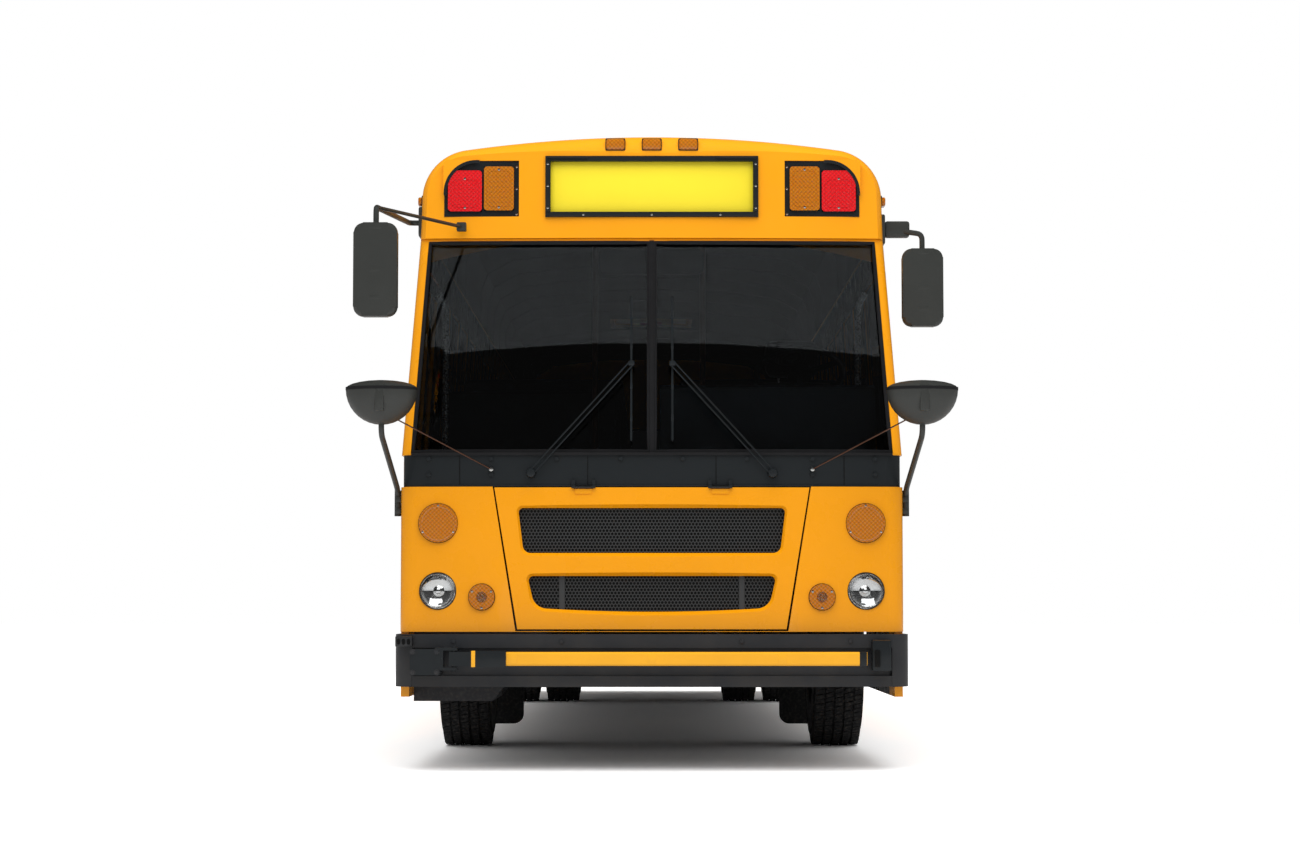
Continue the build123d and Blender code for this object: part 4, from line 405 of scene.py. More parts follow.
class Shape:
    """Closed solids gathered into one mesh, each with its own finish."""

    def __init__(self):
        self.points = []
        self.faces = []
        self.marks = []
        self.finishes = []

    def take(self, made, finish, place=None, smooth=True, bowed=False):
        """Adds a small mesh, turned and moved into place or bent to the bowed front, and frees it."""
        if place is not None:
            bmesh.ops.transform(made, matrix=place, verts=made.verts)
        bmesh.ops.recalc_face_normals(made, faces=made.faces)
        if finish not in self.finishes:
            self.finishes.append(finish)
        index = self.finishes.index(finish)
        start = len(self.points)
        made.verts.index_update()
        for vert in made.verts:
            lift = bow(vert.co.x) if bowed else 0
            self.points.append((vert.co.x, vert.co.y + lift, vert.co.z))
        for face in made.faces:
            self.faces.append([start + vert.index for vert in face.verts])
            self.marks.append((index, smooth))
        made.free()

    def box(self, low, high, finish, bevel=0.0, segments=2, place=None, cuts=0, bowed=False):
        made = bmesh.new()
        bmesh.ops.create_cube(made, size=1)
        middle = [(a + b) / 2 for a, b in zip(low, high)]
        size = [b - a for a, b in zip(low, high)]
        for vert in made.verts:
            vert.co = Vector([m + s * c for m, s, c in zip(middle, size, vert.co)])
        if bevel:
            bmesh.ops.bevel(made, geom=made.edges[:], offset=bevel, segments=segments, affect="EDGES",
                            profile=0.5)
        if cuts:
            along = [edge for edge in made.edges if abs(edge.verts[0].co.x
                                                        - edge.verts[1].co.x) > size[0] / 2]
            bmesh.ops.subdivide_edges(made, edges=along, cuts=cuts)
        self.take(made, finish, place, bool(bevel), bowed)

    def prism(self, outline, axis, low, high, finish, bevel=0.0, place=None, segments=2):
        """An outline carried along an axis, its rims rounded over."""
        across, up, along = frame_of(axis)
        made = bmesh.new()
        ends = [[made.verts.new(across * u + up * v + along * w) for u, v in outline] for w in (low, high)]
        caps = [made.faces.new(end) for end in ends]
        count = len(outline)
        for i in range(count):
            j = (i + 1) % count
            made.faces.new((ends[0][i], ends[0][j], ends[1][j], ends[1][i]))
        if bevel:
            rims = [edge for cap in caps for edge in cap.edges]
            bmesh.ops.bevel(made, geom=rims, offset=bevel, segments=segments, affect="EDGES", profile=0.5)
        self.take(made, finish, place, bool(bevel))

    def lathe(self, profile, axis, centre, finish, segments=32, place=None, smooth=True):
        """A profile of (along, radius) turned about an axis; closed unless it starts and ends on the axis."""
        across, up, along = frame_of(axis)
        centre = Vector(centre)
        made = bmesh.new()
        rings = []
        for w, radius in profile:
            if radius == 0:
                rings.append([made.verts.new(centre + along * w)])
                continue
            rings.append([made.verts.new(centre + along * w + (across * u + up * v) * radius)
                          for u, v in circle(1, segments)])
        pairs = list(zip(rings, rings[1:]))
        if len(rings[0]) > 1 or len(rings[-1]) > 1:
            pairs.append((rings[-1], rings[0]))
        for first, second in pairs:
            for i in range(segments):
                j = (i + 1) % segments
                if len(first) == 1 and len(second) == 1:
                    break
                if len(first) == 1:
                    made.faces.new((first[0], second[i], second[j]))
                elif len(second) == 1:
                    made.faces.new((first[i], first[j], second[0]))
                else:
                    made.faces.new((first[i], first[j], second[j], second[i]))
        self.take(made, finish, place, smooth)

    def sweep(self, path, section, finish, up=(0, 0, 1), closed=False, smooth=True):
        """A section of (side, out) points carried along a path."""
        path = [Vector(point) for point in path]
        made = bmesh.new()
        rings = []
        out = Vector(up)
        count = len(path)
        for i, point in enumerate(path):
            before = path[i - 1] if closed or i else path[0]
            after = path[(i + 1) % count] if closed or i < count - 1 else path[-1]
            tangent = (after - before).normalized()
            out = out - tangent * out.dot(tangent)
            if out.length < 1e-6:
                out = Vector((1, 0, 0)) - tangent * tangent.x
            out.normalize()
            side = tangent.cross(out)
            rings.append([made.verts.new(point + side * s + out * o) for s, o in section])
        size = len(section)
        spans = range(count if closed else count - 1)
        for i in spans:
            first, second = rings[i], rings[(i + 1) % count]
            for k in range(size):
                n = (k + 1) % size
                made.faces.new((first[k], first[n], second[n], second[k]))
        if not closed:
            made.faces.new(rings[0])
            made.faces.new(rings[-1])
        self.take(made, finish, None, smooth)

    def tube(self, points, radius, finish, bend=0.03, sides=10):
        self.sweep(rounded_path(points, bend), circle(radius, sides), finish)

    def piece(self, name, body, slot, sharp=38):
        data = bpy.data.meshes.new(name)
        data.from_pydata(self.points, [], self.faces)
        for finish in self.finishes:
            data.materials.append(finish)
        data.polygons.foreach_set("material_index", [mark[0] for mark in self.marks])
        data.polygons.foreach_set("use_smooth", [mark[1] for mark in self.marks])
        data.set_sharp_from_angle(angle=math.radians(sharp))
        data.update()
        return placed(name, data, body)


def placed(name, data, body):
    piece = bpy.data.objects.new(name, data)
    bpy.context.scene.collection.objects.link(piece)
    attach(piece, body)
    return piece


# Geometry Nodes trees for what repeats
class Tree:
    def __init__(self, name, sockets):
        self.group = bpy.data.node_groups.new(name, "GeometryNodeTree")
        sides = self.group.interface
        sides.new_socket("Geometry", in_out="INPUT", socket_type="NodeSocketGeometry")
        for label, kind in sockets.items():
            sides.new_socket(label, in_out="INPUT", socket_type="NodeSocket" + kind)
        sides.new_socket("Geometry", in_out="OUTPUT", socket_type="NodeSocketGeometry")
        self.inputs = self.group.nodes.new("NodeGroupInput").outputs
        self.result = self.group.nodes.new("NodeGroupOutput").inputs

    def add(self, kind, values=None, **settings):
        node = self.group.nodes.new(kind)
        for key, value in settings.items():
            setattr(node, key, value)
        for key, value in (values or {}).items():
            self.put(value, node.inputs[key])
        return node

    def put(self, value, socket):
        if isinstance(value, bpy.types.NodeSocket):
            self.group.links.new(value, socket)
        else:
            socket.default_value = value

    def math(self, operation, first, second=0.0):
        return self.add("ShaderNodeMath", {0: first, 1: second}, operation=operation).outputs[0]

    def close(self, geometry):
        """Makes the copies real and gives them the finish."""
        real = self.add("GeometryNodeRealizeInstances", {0: geometry}).outputs[0]
        done = self.add("GeometryNodeSetMaterial", {"Geometry": real,
                                                    "Material": self.inputs["Finish"]}).outputs[0]
        self.put(done, self.result[0])


def grown(name, data, tree, values, body):
    """Runs a tree on a mesh and keeps what it makes as a plain piece."""
    maker = bpy.data.objects.new(name, data)
    bpy.context.scene.collection.objects.link(maker)
    modifier = maker.modifiers.new("repeat", "NODES")
    modifier.node_group = tree.group
    for item in tree.group.interface.items_tree:
        if item.item_type == "SOCKET" and item.in_out == "INPUT" and item.name in values:
            modifier[item.identifier] = values[item.name]
    graph = bpy.context.evaluated_depsgraph_get()
    made = bpy.data.meshes.new_from_object(maker.evaluated_get(graph))
    bpy.data.objects.remove(maker)
    return placed(name, made, body)


def fastener_tree():
    """One fastener on each point, its head along the point's facing direction."""
    tree = Tree("fasteners on points", {"Fastener": "Object", "Finish": "Material"})
    facing = tree.add("GeometryNodeInputNamedAttribute", {"Name": "facing"},
                      data_type="FLOAT_VECTOR").outputs[0]
    turn = tree.add("FunctionNodeAlignRotationToVector", {"Vector": facing}, axis="Z").outputs[0]
    head = tree.add("GeometryNodeObjectInfo", {"Object": tree.inputs["Fastener"]}).outputs["Geometry"]
    copies = tree.add("GeometryNodeInstanceOnPoints", {"Points": tree.inputs["Geometry"], "Instance": head,
                                                       "Rotation": turn})
    tree.close(copies.outputs[0])
    return tree


def ring_tree():
    """Copies of a shape turned round the X axis, then carried to an axle."""
    tree = Tree("ring copies", {"Count": "Int", "Axle": "Vector", "Finish": "Material"})
    places = tree.add("GeometryNodePoints", {"Count": tree.inputs["Count"]}).outputs[0]
    index = tree.add("GeometryNodeInputIndex").outputs[0]
    step = tree.math("DIVIDE", 2 * math.pi, tree.inputs["Count"])
    angle = tree.math("MULTIPLY", index, step)
    euler = tree.add("ShaderNodeCombineXYZ", {"X": angle}).outputs[0]
    turn = tree.add("FunctionNodeEulerToRotation", {"Euler": euler}).outputs[0]
    copies = tree.add("GeometryNodeInstanceOnPoints", {"Points": places,
                                                       "Instance": tree.inputs["Geometry"],
                                                       "Rotation": turn}).outputs[0]
    moved = tree.add("GeometryNodeTransform", {"Geometry": copies,
                                               "Translation": tree.inputs["Axle"]}).outputs[0]
    tree.close(moved)
    return tree


def mesh_tree():
    """A perforated sheet of hexagonal holes, bent to the bowed front, on a flat grid in X and Z."""
    tree = Tree("perforated sheet", {"Width": "Float", "Height": "Float", "Pitch": "Float", "Open": "Float",
                                     "Thickness": "Float", "Face": "Float", "Low": "Float", "Flare": "Float",
                                     "Finish": "Material"})
    inputs = tree.inputs
    row_step = tree.math("MULTIPLY", inputs["Pitch"], 0.866)
    columns = tree.math("ROUND", tree.math("DIVIDE", inputs["Width"], inputs["Pitch"]))
    rows = tree.math("ROUND", tree.math("DIVIDE", inputs["Height"], row_step))
    grid = tree.add("GeometryNodeMeshGrid", {"Size X": inputs["Width"], "Size Y": inputs["Height"],
                                             "Vertices X": columns, "Vertices Y": rows}).outputs[0]
    index = tree.add("GeometryNodeInputIndex").outputs[0]
    row = tree.math("MODULO", index, rows)
    shift = tree.math("MULTIPLY", tree.math("MODULO", row, 2.0),
                      tree.math("MULTIPLY", inputs["Pitch"], 0.5))
    offset = tree.add("ShaderNodeCombineXYZ", {"X": shift}).outputs[0]
    grid = tree.add("GeometryNodeSetPosition", {"Geometry": grid, "Offset": offset}).outputs[0]
    grid = tree.add("GeometryNodeTriangulate", {0: grid}).outputs[0]
    cells = tree.add("GeometryNodeDualMesh", {0: grid}).outputs[0]
    inner = tree.add("GeometryNodeExtrudeMesh", {"Mesh": cells, "Offset Scale": 0.0, "Individual": True})
    inner_top = inner.outputs["Top"]
    inner = tree.add("GeometryNodeScaleElements", {"Geometry": inner.outputs[0], "Selection": inner_top,
                                                   "Scale": inputs["Open"]}).outputs[0]
    lattice = tree.add("GeometryNodeDeleteGeometry", {"Geometry": inner, "Selection": inner_top},
                       domain="FACE").outputs[0]
    place = tree.add("GeometryNodeInputPosition").outputs[0]
    parts = tree.add("ShaderNodeSeparateXYZ", {0: place}).outputs
    limit = tree.math("ADD", tree.math("MULTIPLY", inputs["Width"], 0.5),
                      tree.math("MULTIPLY", parts[1], inputs["Flare"]))
    limit = tree.math("SUBTRACT", limit, tree.math("MULTIPLY", inputs["Height"], 0.1))
    beyond = tree.math("GREATER_THAN", tree.math("ABSOLUTE", parts[0]), limit)
    lattice = tree.add("GeometryNodeDeleteGeometry", {"Geometry": lattice, "Selection": beyond},
                       domain="FACE").outputs[0]
    thick = tree.add("GeometryNodeExtrudeMesh", {"Mesh": lattice, "Offset Scale": inputs["Thickness"],
                                                 "Individual": False}).outputs[0]
    back = tree.add("GeometryNodeFlipFaces", {0: lattice}).outputs[0]
    joined = tree.add("GeometryNodeJoinGeometry").inputs[0]
    tree.group.links.new(thick, joined)
    tree.group.links.new(back, joined)
    merged = tree.add("GeometryNodeMergeByDistance", {0: joined.node.outputs[0],
                                                      "Distance": 0.0001}).outputs[0]
    lift = tree.math("MULTIPLY", tree.math("MULTIPLY", parts[0], parts[0]), FRONT_BOW / HALF ** 2)
    depth = tree.math("SUBTRACT", tree.math("ADD", inputs["Face"], lift), parts[2])
    tall = tree.math("ADD", inputs["Low"], tree.math("ADD", parts[1],
                                                     tree.math("MULTIPLY", inputs["Height"], 0.5)))
    stood = tree.add("ShaderNodeCombineXYZ", {"X": parts[0], "Y": depth, "Z": tall}).outputs[0]
    stood = tree.add("GeometryNodeSetPosition", {"Geometry": merged, "Position": stood}).outputs[0]
    tree.close(stood)
    return tree


fasteners = fastener_tree()
ring_copies = ring_tree()
perforated = mesh_tree()


def hidden_head(name, shape):
    """A fastener's head at the origin, kept out of the scene and used only for its copies."""
    data = bpy.data.meshes.new(name)
    data.from_pydata(shape.points, [], shape.faces)
    data.polygons.foreach_set("use_smooth", [mark[1] for mark in shape.marks])
    data.set_sharp_from_angle(angle=math.radians(38))
    return bpy.data.objects.new(name, data)


def screw_head(radius, tall):
    shape = Shape()
    shape.lathe([(-0.002, 0), (-0.002, radius), (tall * 0.35, radius), (tall * 0.8, radius * 0.75),
                 (tall, radius * 0.35),
                 (tall, 0)], "Z", (0, 0, 0), trim_paint, 16)
    return shape


def hex_head(radius, tall):
    shape = Shape()
    shape.lathe([(-0.002, 0), (-0.002, radius * 1.35), (tall * 0.2, radius * 1.35),
                 (tall * 0.2, radius * 0.9),
                 (tall * 0.2, 0)], "Z", (0, 0, 0), trim_paint, 16)
    shape.lathe([(tall * 0.1, 0), (tall * 0.1, radius), (tall * 0.85, radius), (tall, radius * 0.82),
                 (tall, 0)], "Z",
                (0, 0, 0), trim_paint, 6, smooth=False)
    return shape


rivet = hidden_head("rivet_head", screw_head(0.008, 0.004))
small_screw = hidden_head("screw_head", screw_head(0.006, 0.003))
bolt = hidden_head("bolt_head", hex_head(0.011, 0.010))


def fasten(name, head, places, finish, body):
    """Fasteners at (point, facing) places on one body."""
    data = bpy.data.meshes.new(name)
    data.from_pydata([point for point, facing in places], [], [])
    attribute = data.attributes.new("facing", "FLOAT_VECTOR", "POINT")
    attribute.data.foreach_set("vector", [value for point, facing in places for value in facing])
    return grown(name, data, fasteners, {"Fastener": head, "Finish": finish}, body)


# Front: grilles, lamps, sign
def grille_sheets():
    """Perforated black sheets behind the hatch's two openings, over a near-black sheet of painted shade that
    stands for the dark space behind them.
    """
    empty = bpy.data.meshes.new("sheet_seed")
    values = {"Pitch": 0.0165, "Open": 0.74, "Thickness": 0.003, "Face": FACE_Y + 0.035, "Flare": 0.14,
              "Finish": mesh_paint}
    upper = grown("grille_sheet_upper", empty, perforated,
                  {**values, "Width": 1.33, "Height": 0.250, "Low": 1.028}, "front_hatch")
    lower = grown("grille_sheet_lower", empty.copy(), perforated,
                  {**values, "Width": 1.24, "Height": 0.215, "Low": 0.745}, "front_hatch")
    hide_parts("hatch_mesh")
    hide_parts("hatch_mesh")
    shade_and_brackets = Shape()
    # Painted shade: a near-black sheet behind both openings for the dark space there; then the bars and posts
    # that hold the grilles.
    shade_and_brackets.box((-0.66, FACE_Y + 0.052, 0.73), (0.66, FACE_Y + 0.056, 1.29), shade_and_seam_black, cuts=12, bowed=True)
    for z in (0.745, 1.005, 1.285):
        shade_and_brackets.box((-0.64, FACE_Y + 0.031, z - 0.006), (0.64, FACE_Y + 0.054, z + 0.006), frame_paint,
                   0.002, cuts=12,
                   bowed=True)
    for x in (-0.434, 0.434):
        shade_and_brackets.box((x - 0.014, FACE_Y + 0.026, 0.760), (x + 0.014, FACE_Y + 0.050, 0.960), mesh_paint,
                   0.003, bowed=True)
    shade_and_brackets.piece("hatch_baffle", "front_hatch", "mesh_black")


def headlamp(shape, x, z, radius, y, toward):
    """A bowl reflector with a bulb shield behind a domed clear cover; toward is -1 where it faces -Y."""
    def at(profile):
        return [(toward * along, r) for along, r in profile]
    place = (x, y, z)
    shape.lathe(at([(0.003, radius - 0.003), (-0.010, radius * 0.86), (-0.026, radius * 0.55),
                    (-0.034, radius * 0.2),
                    (-0.035, 0.010), (-0.038, 0.010), (-0.038, radius * 0.25), (-0.030, radius * 0.62),
                    (-0.014, radius * 0.95), (0.003, radius)]), "Y", place, chrome, 40)
    shape.lathe(at([(-0.036, 0), (-0.036, 0.012), (-0.012, 0.016), (-0.008, 0.012), (-0.006, 0)]), "Y",
                place, chrome, 20)
    shape.lathe(at([(0.002, radius - 0.001), (0.008, radius * 0.93), (0.011, radius * 0.6), (0.012, 0.0)])
                + at([(0.0095, 0.0), (0.0085, radius * 0.6), (0.0055, radius * 0.91),
                      (-0.001, radius - 0.001)]),
                "Y", place, clear_lens, 40)


def ring(shape, x, y, z, inner, outer, proud, finish, toward=-1):
    shape.lathe([(0, inner), (0, outer), (toward * proud * 0.6, outer),
                 (toward * proud, (inner + outer) / 2),
                 (toward * proud * 0.7, inner)], "Y", (x, y, z), finish, 40)


HEAD_LAMP = (1.032, 0.862)
TURN_LAMP_Z = 1.189
SIDE_LAMP = (0.820, 0.833)
TAIL_LAMP_X = 1.010
TAIL_LAMPS_Z = (1.180, 0.960, 0.780)
REAR_WARNING_X = (0.757, 0.935)
REAR_WARNING_Z = 2.520
LENS_PROUD = 0.0141


def screws_round(x, y, z, radius, first):
    """Three screws round a lamp, the first of them at an angle."""
    turns = [math.radians(first + turn) for turn in (0, 120, 240)]
    return [((x + radius * math.cos(a), y, z + radius * math.sin(a)), AHEAD) for a in turns]


def front_lamps():
    """Headlamps, turn and side lamps with their rims and screws, and the rear lamps' rims."""
    clear = Shape()
    trim = Shape()
    screws = []
    for side in SIDES:
        x = side * HEAD_LAMP[0]
        y = face_y(x)
        headlamp(clear, x, HEAD_LAMP[1], 0.0865, y - 0.001, -1)
        ring(trim, x, y + 0.001, HEAD_LAMP[1], 0.0870, 0.0905, 0.006, seal_rubber)
        ring(trim, x, y + 0.001, TURN_LAMP_Z, 0.0938, 0.0965, 0.006, seal_rubber)
        screws += screws_round(x, y - LENS_PROUD, TURN_LAMP_Z, 0.084, 90)
        trim.lathe([(0.006, 0.0), (0.006, 0.086), (-0.001, 0.086), (-0.003, 0.080), (0.001, 0.074),
                    (0.001, 0.0)], "Y",
                   (x, y - LENS_PROUD, TURN_LAMP_Z), amber_lens, 40)
        x = side * SIDE_LAMP[0]
        y = face_y(x)
        ring(trim, x, y + 0.001, SIDE_LAMP[1], 0.0630, 0.0655, 0.006, seal_rubber)
        clear.lathe([(0.004, 0), (0.004, 0.026), (-0.002, 0.025), (-0.007, 0.015), (-0.009, 0)], "Y",
                    (x, y - LENS_PROUD, SIDE_LAMP[1]), clear_lens, 28)
        screws += screws_round(x, y - LENS_PROUD, SIDE_LAMP[1], 0.053, 30)
        headlamp(clear, side * TAIL_LAMP_X, TAIL_LAMPS_Z[-1], 0.086, TAIL + 0.014, 1)
        for z in TAIL_LAMPS_Z:
            ring(trim, side * TAIL_LAMP_X, TAIL, z, 0.0885, 0.100, 0.012, seal_rubber, 1)
        for x in REAR_WARNING_X:
            ring(trim, side * x, TAIL, REAR_WARNING_Z, 0.0885, 0.099, 0.027, trim_paint, 1)
    lamps = clear.piece("lamp_glass", "bus", "clear_lens")
    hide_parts("clear_lenses")
    trim.piece("lamp_rings", "bus", "rubber")
    fasten("lamp_screws", small_screw, screws, bright_metal, "bus")


# The cap's lenses as (x low, x high, z low, z high), and the rounded corner over each lamp panel
RED_LENS = (0.844, 1.013, 2.745, 2.950)
AMBER_LENS = (0.685, 0.834, 2.750, 2.970)
LENS_FACE = CAP_FACE + 0.0062
CELL_COLUMNS, CELL_ROWS = 5, 6
CORNER_X, CORNER_Z, CORNER_RADIUS = 0.872, 2.840, 0.160
MARKER_SPACING = 0.181


def lens_cells(lenses, side, place, finish):
    """A bead round one warning lens and its pressed optics; gives the places of its two screws."""
    x_low, x_high, z_low, z_high = place
    middle = side * (x_low + x_high) / 2
    half = (x_high - x_low) / 2 - 0.016
    tall = (z_high - z_low) / 2 - 0.020
    centre = (z_low + z_high) / 2
    if place is RED_LENS:
        centre -= 0.012
        tall -= 0.014
    path = [(middle + u, LENS_FACE, centre + v) for u, v in round_rect(half, tall, 0.03, 5)]
    lenses.sweep(path, circle(0.0028, 6), finish, up=AHEAD, closed=True)
    radius = half * 0.72 / CELL_COLUMNS
    for i in range(CELL_COLUMNS):
        for j in range(CELL_ROWS):
            u = middle + (i - (CELL_COLUMNS - 1) / 2) * half * 1.7 / CELL_COLUMNS
            v = centre + (j - (CELL_ROWS - 1) / 2) * tall * 1.7 / CELL_ROWS
            lenses.lathe([(0.002, 0), (0.002, radius), (-0.002, radius * 0.8), (-0.0032, 0)], "Y",
                         (u, LENS_FACE, v), finish, 10)
    return [((middle, CAP_FACE + 0.0055, centre + dz), AHEAD) for dz in (-tall - 0.004, tall + 0.004)]


def warning_corners():
    """Rounds off each lamp panel's outer corner, with a black bead along the curve."""
    def on_curve(radius, angle):
        a = math.radians(angle)
        return CORNER_X + radius * math.cos(a), CORNER_Z + radius * math.sin(a)
    y = CAP_FACE
    corners = Shape()
    for side in SIDES:
        arc = [on_curve(CORNER_RADIUS, a) for a in range(0, 91, 9)]
        outer = [(CORNER_X, 3.004), (1.016, 3.004), (1.036, 2.988), (1.036, CORNER_Z)]
        corners.prism([(side * u, v) for u, v in arc + outer], "Y", y + 0.004, y + 0.048, cap_paint)
        bead = [on_curve(CORNER_RADIUS - 0.006, a) for a in range(-6, 97, 6)]
        corners.sweep([(side * u, y + 0.005, v) for u, v in bead], round_rect(0.008, 0.003, 0.002),
                      trim_paint, up=AHEAD)
    corners.piece("warning_corners", "bus", "cap_yellow")


def sign_board():
    """The blank board with its tabs and screws, and the warning lamps' panels."""
    y = CAP_FACE
    board = Shape()
    board.box((-0.504, y + 0.021, 2.740), (0.504, y + 0.028, 2.996), sign_field, 0.001)
    for side in SIDES:
        outline = round_rect(0.100, 0.006, 0.004)
        board.prism([(u + side * 0.418, v + 3.013) for u, v in outline], "Y", y - 0.016, y - 0.004,
                    trim_paint, 0.002)
        board.box((side * 0.516 - 0.010, y - 0.012, 2.742), (side * 0.516 + 0.010, y - 0.006, 2.994),
                  trim_paint, 0.002)
    board.box((-0.506, y - 0.012, 2.717), (0.506, y - 0.006, 2.737), trim_paint, 0.002)
    board.piece("sign_board", "bus", "sign_red")
    screws = [((x, y - 0.0125, z), AHEAD) for x in (-0.516, 0.516) for z in (2.76, 2.87, 2.98)]
    screws += [((x, y - 0.0125, 2.727), AHEAD) for x in (-0.34, 0.0, 0.34)]
    lenses = Shape()
    for side in SIDES:
        for place, finish in ((RED_LENS, red_lens), (AMBER_LENS, amber_lens)):
            screws += lens_cells(lenses, side, place, finish)
        screws += [((side * 0.672, y + 0.0218, z), AHEAD) for z in (2.733, 2.86, 2.97)]
    warning_corners()
    lenses.piece("warning_lens_cells", "bus", "amber_lens")
    fasten("sign_screws", small_screw, screws, bright_metal, "bus")


def marker_lamps():
    """The three lamps on the brow and one on each of the cap's cheeks."""
    y = CAP_FACE
    markers = Shape()
    for i in (-1, 0, 1):
        x = i * MARKER_SPACING
        markers.box((x - 0.050, y - 0.004, 3.048), (x + 0.050, y + 0.060, 3.110), trim_paint, 0.006)
        markers.box((x - 0.046, y - 0.012, 3.052), (x + 0.046, y + 0.030, 3.106), amber_lens, 0.010, 3)
    for side in SIDES:
        for outline, near, far, finish, bevel, segments in (
                (round_rect(0.052, 0.030, 0.018), 1.140, 1.156, trim_paint, 0.002, 2),
                (round_rect(0.043, 0.022, 0.014), 1.150, 1.174, amber_lens, 0.007, 3)):
            markers.prism([(u + y + 0.20, v + 2.818) for u, v in outline], "X",
                          *sorted((side * near, side * far)),
                          finish, bevel, segments=segments)
    markers.piece("marker_lamps", "bus", "amber_lens")


def glazing():
    """Black gasket round each windshield pane, the centre post's cover and the sill moulding."""
    rubber_trim = Shape()
    normal = Vector((0, -1, GLASS_SLOPE)).normalized()
    low = COWL_TOP + 0.002
    high = GUTTER[1] - 0.014

    def on_glass(x, z, out=0.0):
        return Vector((x, glass_y(x, z), z)) + normal * out
    section = [(-0.009, -0.010), (0.009, -0.010), (0.009, 0.001), (0.006, 0.004), (-0.006, 0.004),
               (-0.009, 0.001)]
    for side in SIDES:
        corners = [(0.016, low + 0.008), (1.160, low + 0.008), (1.100, high - 0.008), (0.016, high - 0.008)]
        outline = []
        for (x1, z1), (x2, z2) in zip(corners, corners[1:] + corners[:1]):
            for step in range(12):
                t = step / 12
                outline.append(on_glass(side * (x1 + (x2 - x1) * t), z1 + (z2 - z1) * t))
        rubber_trim.sweep(outline, section, seal_rubber, up=normal, closed=True, smooth=False)
    post = [on_glass(0, z, 0.003) for z in (low, (low + high) / 2, high)]
    rubber_trim.sweep(post, [(-0.013, -0.004), (0.013, -0.004), (0.011, 0.005), (-0.011, 0.005)],
                      seal_rubber, up=normal)
    sill = [(x / 10 * 1.165, face_y(x / 10 * 1.165) + 0.022, COWL_TOP - 0.004) for x in range(-10, 11)]
    rubber_trim.sweep(sill, [(-0.026, -0.008), (0.020, -0.008), (0.020, 0.006), (-0.018, 0.006)],
                      seal_rubber)
    rubber_trim.piece("windshield_gasket", "bus", "rubber")


def wiper_set():
    """Two parked wipers: a boss, a pair of slim rods, a claw and a thin blade with its rubber."""
    shape = Shape()
    for side in SIDES:
        pivot = Vector((side * 0.583, -5.725, 1.430))
        joint = Vector((side * 0.100, glass_y(0.1, 1.970) - 0.060, 1.970))
        run = (joint - pivot).normalized()
        across = run.cross(Vector((0, 1, 0))).normalized() * 0.011
        for sign in SIDES:
            shape.tube([pivot + across * sign + Vector((0, -0.040, 0)), joint + across * sign], 0.0038,
                       trim_paint)
        shape.lathe([(0.025, 0), (0.025, 0.022), (-0.030, 0.024), (-0.046, 0.020), (-0.050, 0)], "Y", pivot,
                    trim_paint, 24)
        shape.box(joint + Vector((-0.015, -0.006, -0.012)), joint + Vector((0.015, 0.034, 0.012)),
                  trim_paint, 0.004)
        x = side * 0.100
        path = [(x, glass_y(x, z) - 0.022, z) for z in (1.590, 1.770, 1.950, 2.130, 2.305)]
        shape.sweep(path, [(-0.004, -0.006), (0.004, -0.006), (0.005, 0.006), (-0.005, 0.006)], trim_paint,
                    up=AHEAD)
        path = [(x, glass_y(x, z) - 0.010, z) for z in (1.586, 1.770, 1.950, 2.130, 2.310)]
        shape.sweep(path, [(-0.002, -0.007), (0.002, -0.007), (0.004, 0.006), (-0.004, 0.006)], seal_rubber,
                    up=AHEAD)
        for z in (1.70, 1.86, 2.06, 2.22):
            y = glass_y(x, z) - 0.024
            shape.box((x - 0.006, y - 0.008, z - 0.014), (x + 0.006, y + 0.008, z + 0.014), trim_paint,
                      0.002)
    piece = shape.piece("wiper_set", "bus", "trim_black")
    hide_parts("wipers")


def cowl_details():
    """Seams and bolts of the dark band under the windshield."""
    seams = Shape()
    places = []
    y = FACE_Y + 0.012
    for x in (-0.93, -0.31, 0.31, 0.93):
        seams.box((x - 0.002, y - 0.0012, 1.374), (x + 0.002, y + 0.004, 1.515), shade_and_seam_black, bowed=True)
    for x in (-1.08, -0.776, -0.46, -0.15, 0.15, 0.46, 0.776, 1.08):
        places.append(((x, y + bow(x), 1.500), AHEAD))
        if abs(x) > 0.7:
            places.append(((x, y + bow(x), 1.425), AHEAD))
    seams.box((-1.10, y - 0.006, 1.366), (1.10, y + 0.002, 1.374), trim_paint, 0.002, cuts=14, bowed=True)
    seams.piece("cowl_seams", "bus", "trim_black")
    fasten("cowl_bolts", bolt, places, trim_paint, "bus")


WIDE_MIRROR_X, WIDE_MIRROR_Y, WIDE_MIRROR_Z = 1.274, -6.075, (1.641, 1.810, 1.852)
WIDE_MIRROR_RADIUS = 0.169
STAY_X, STAY_Z = 0.776, 1.449


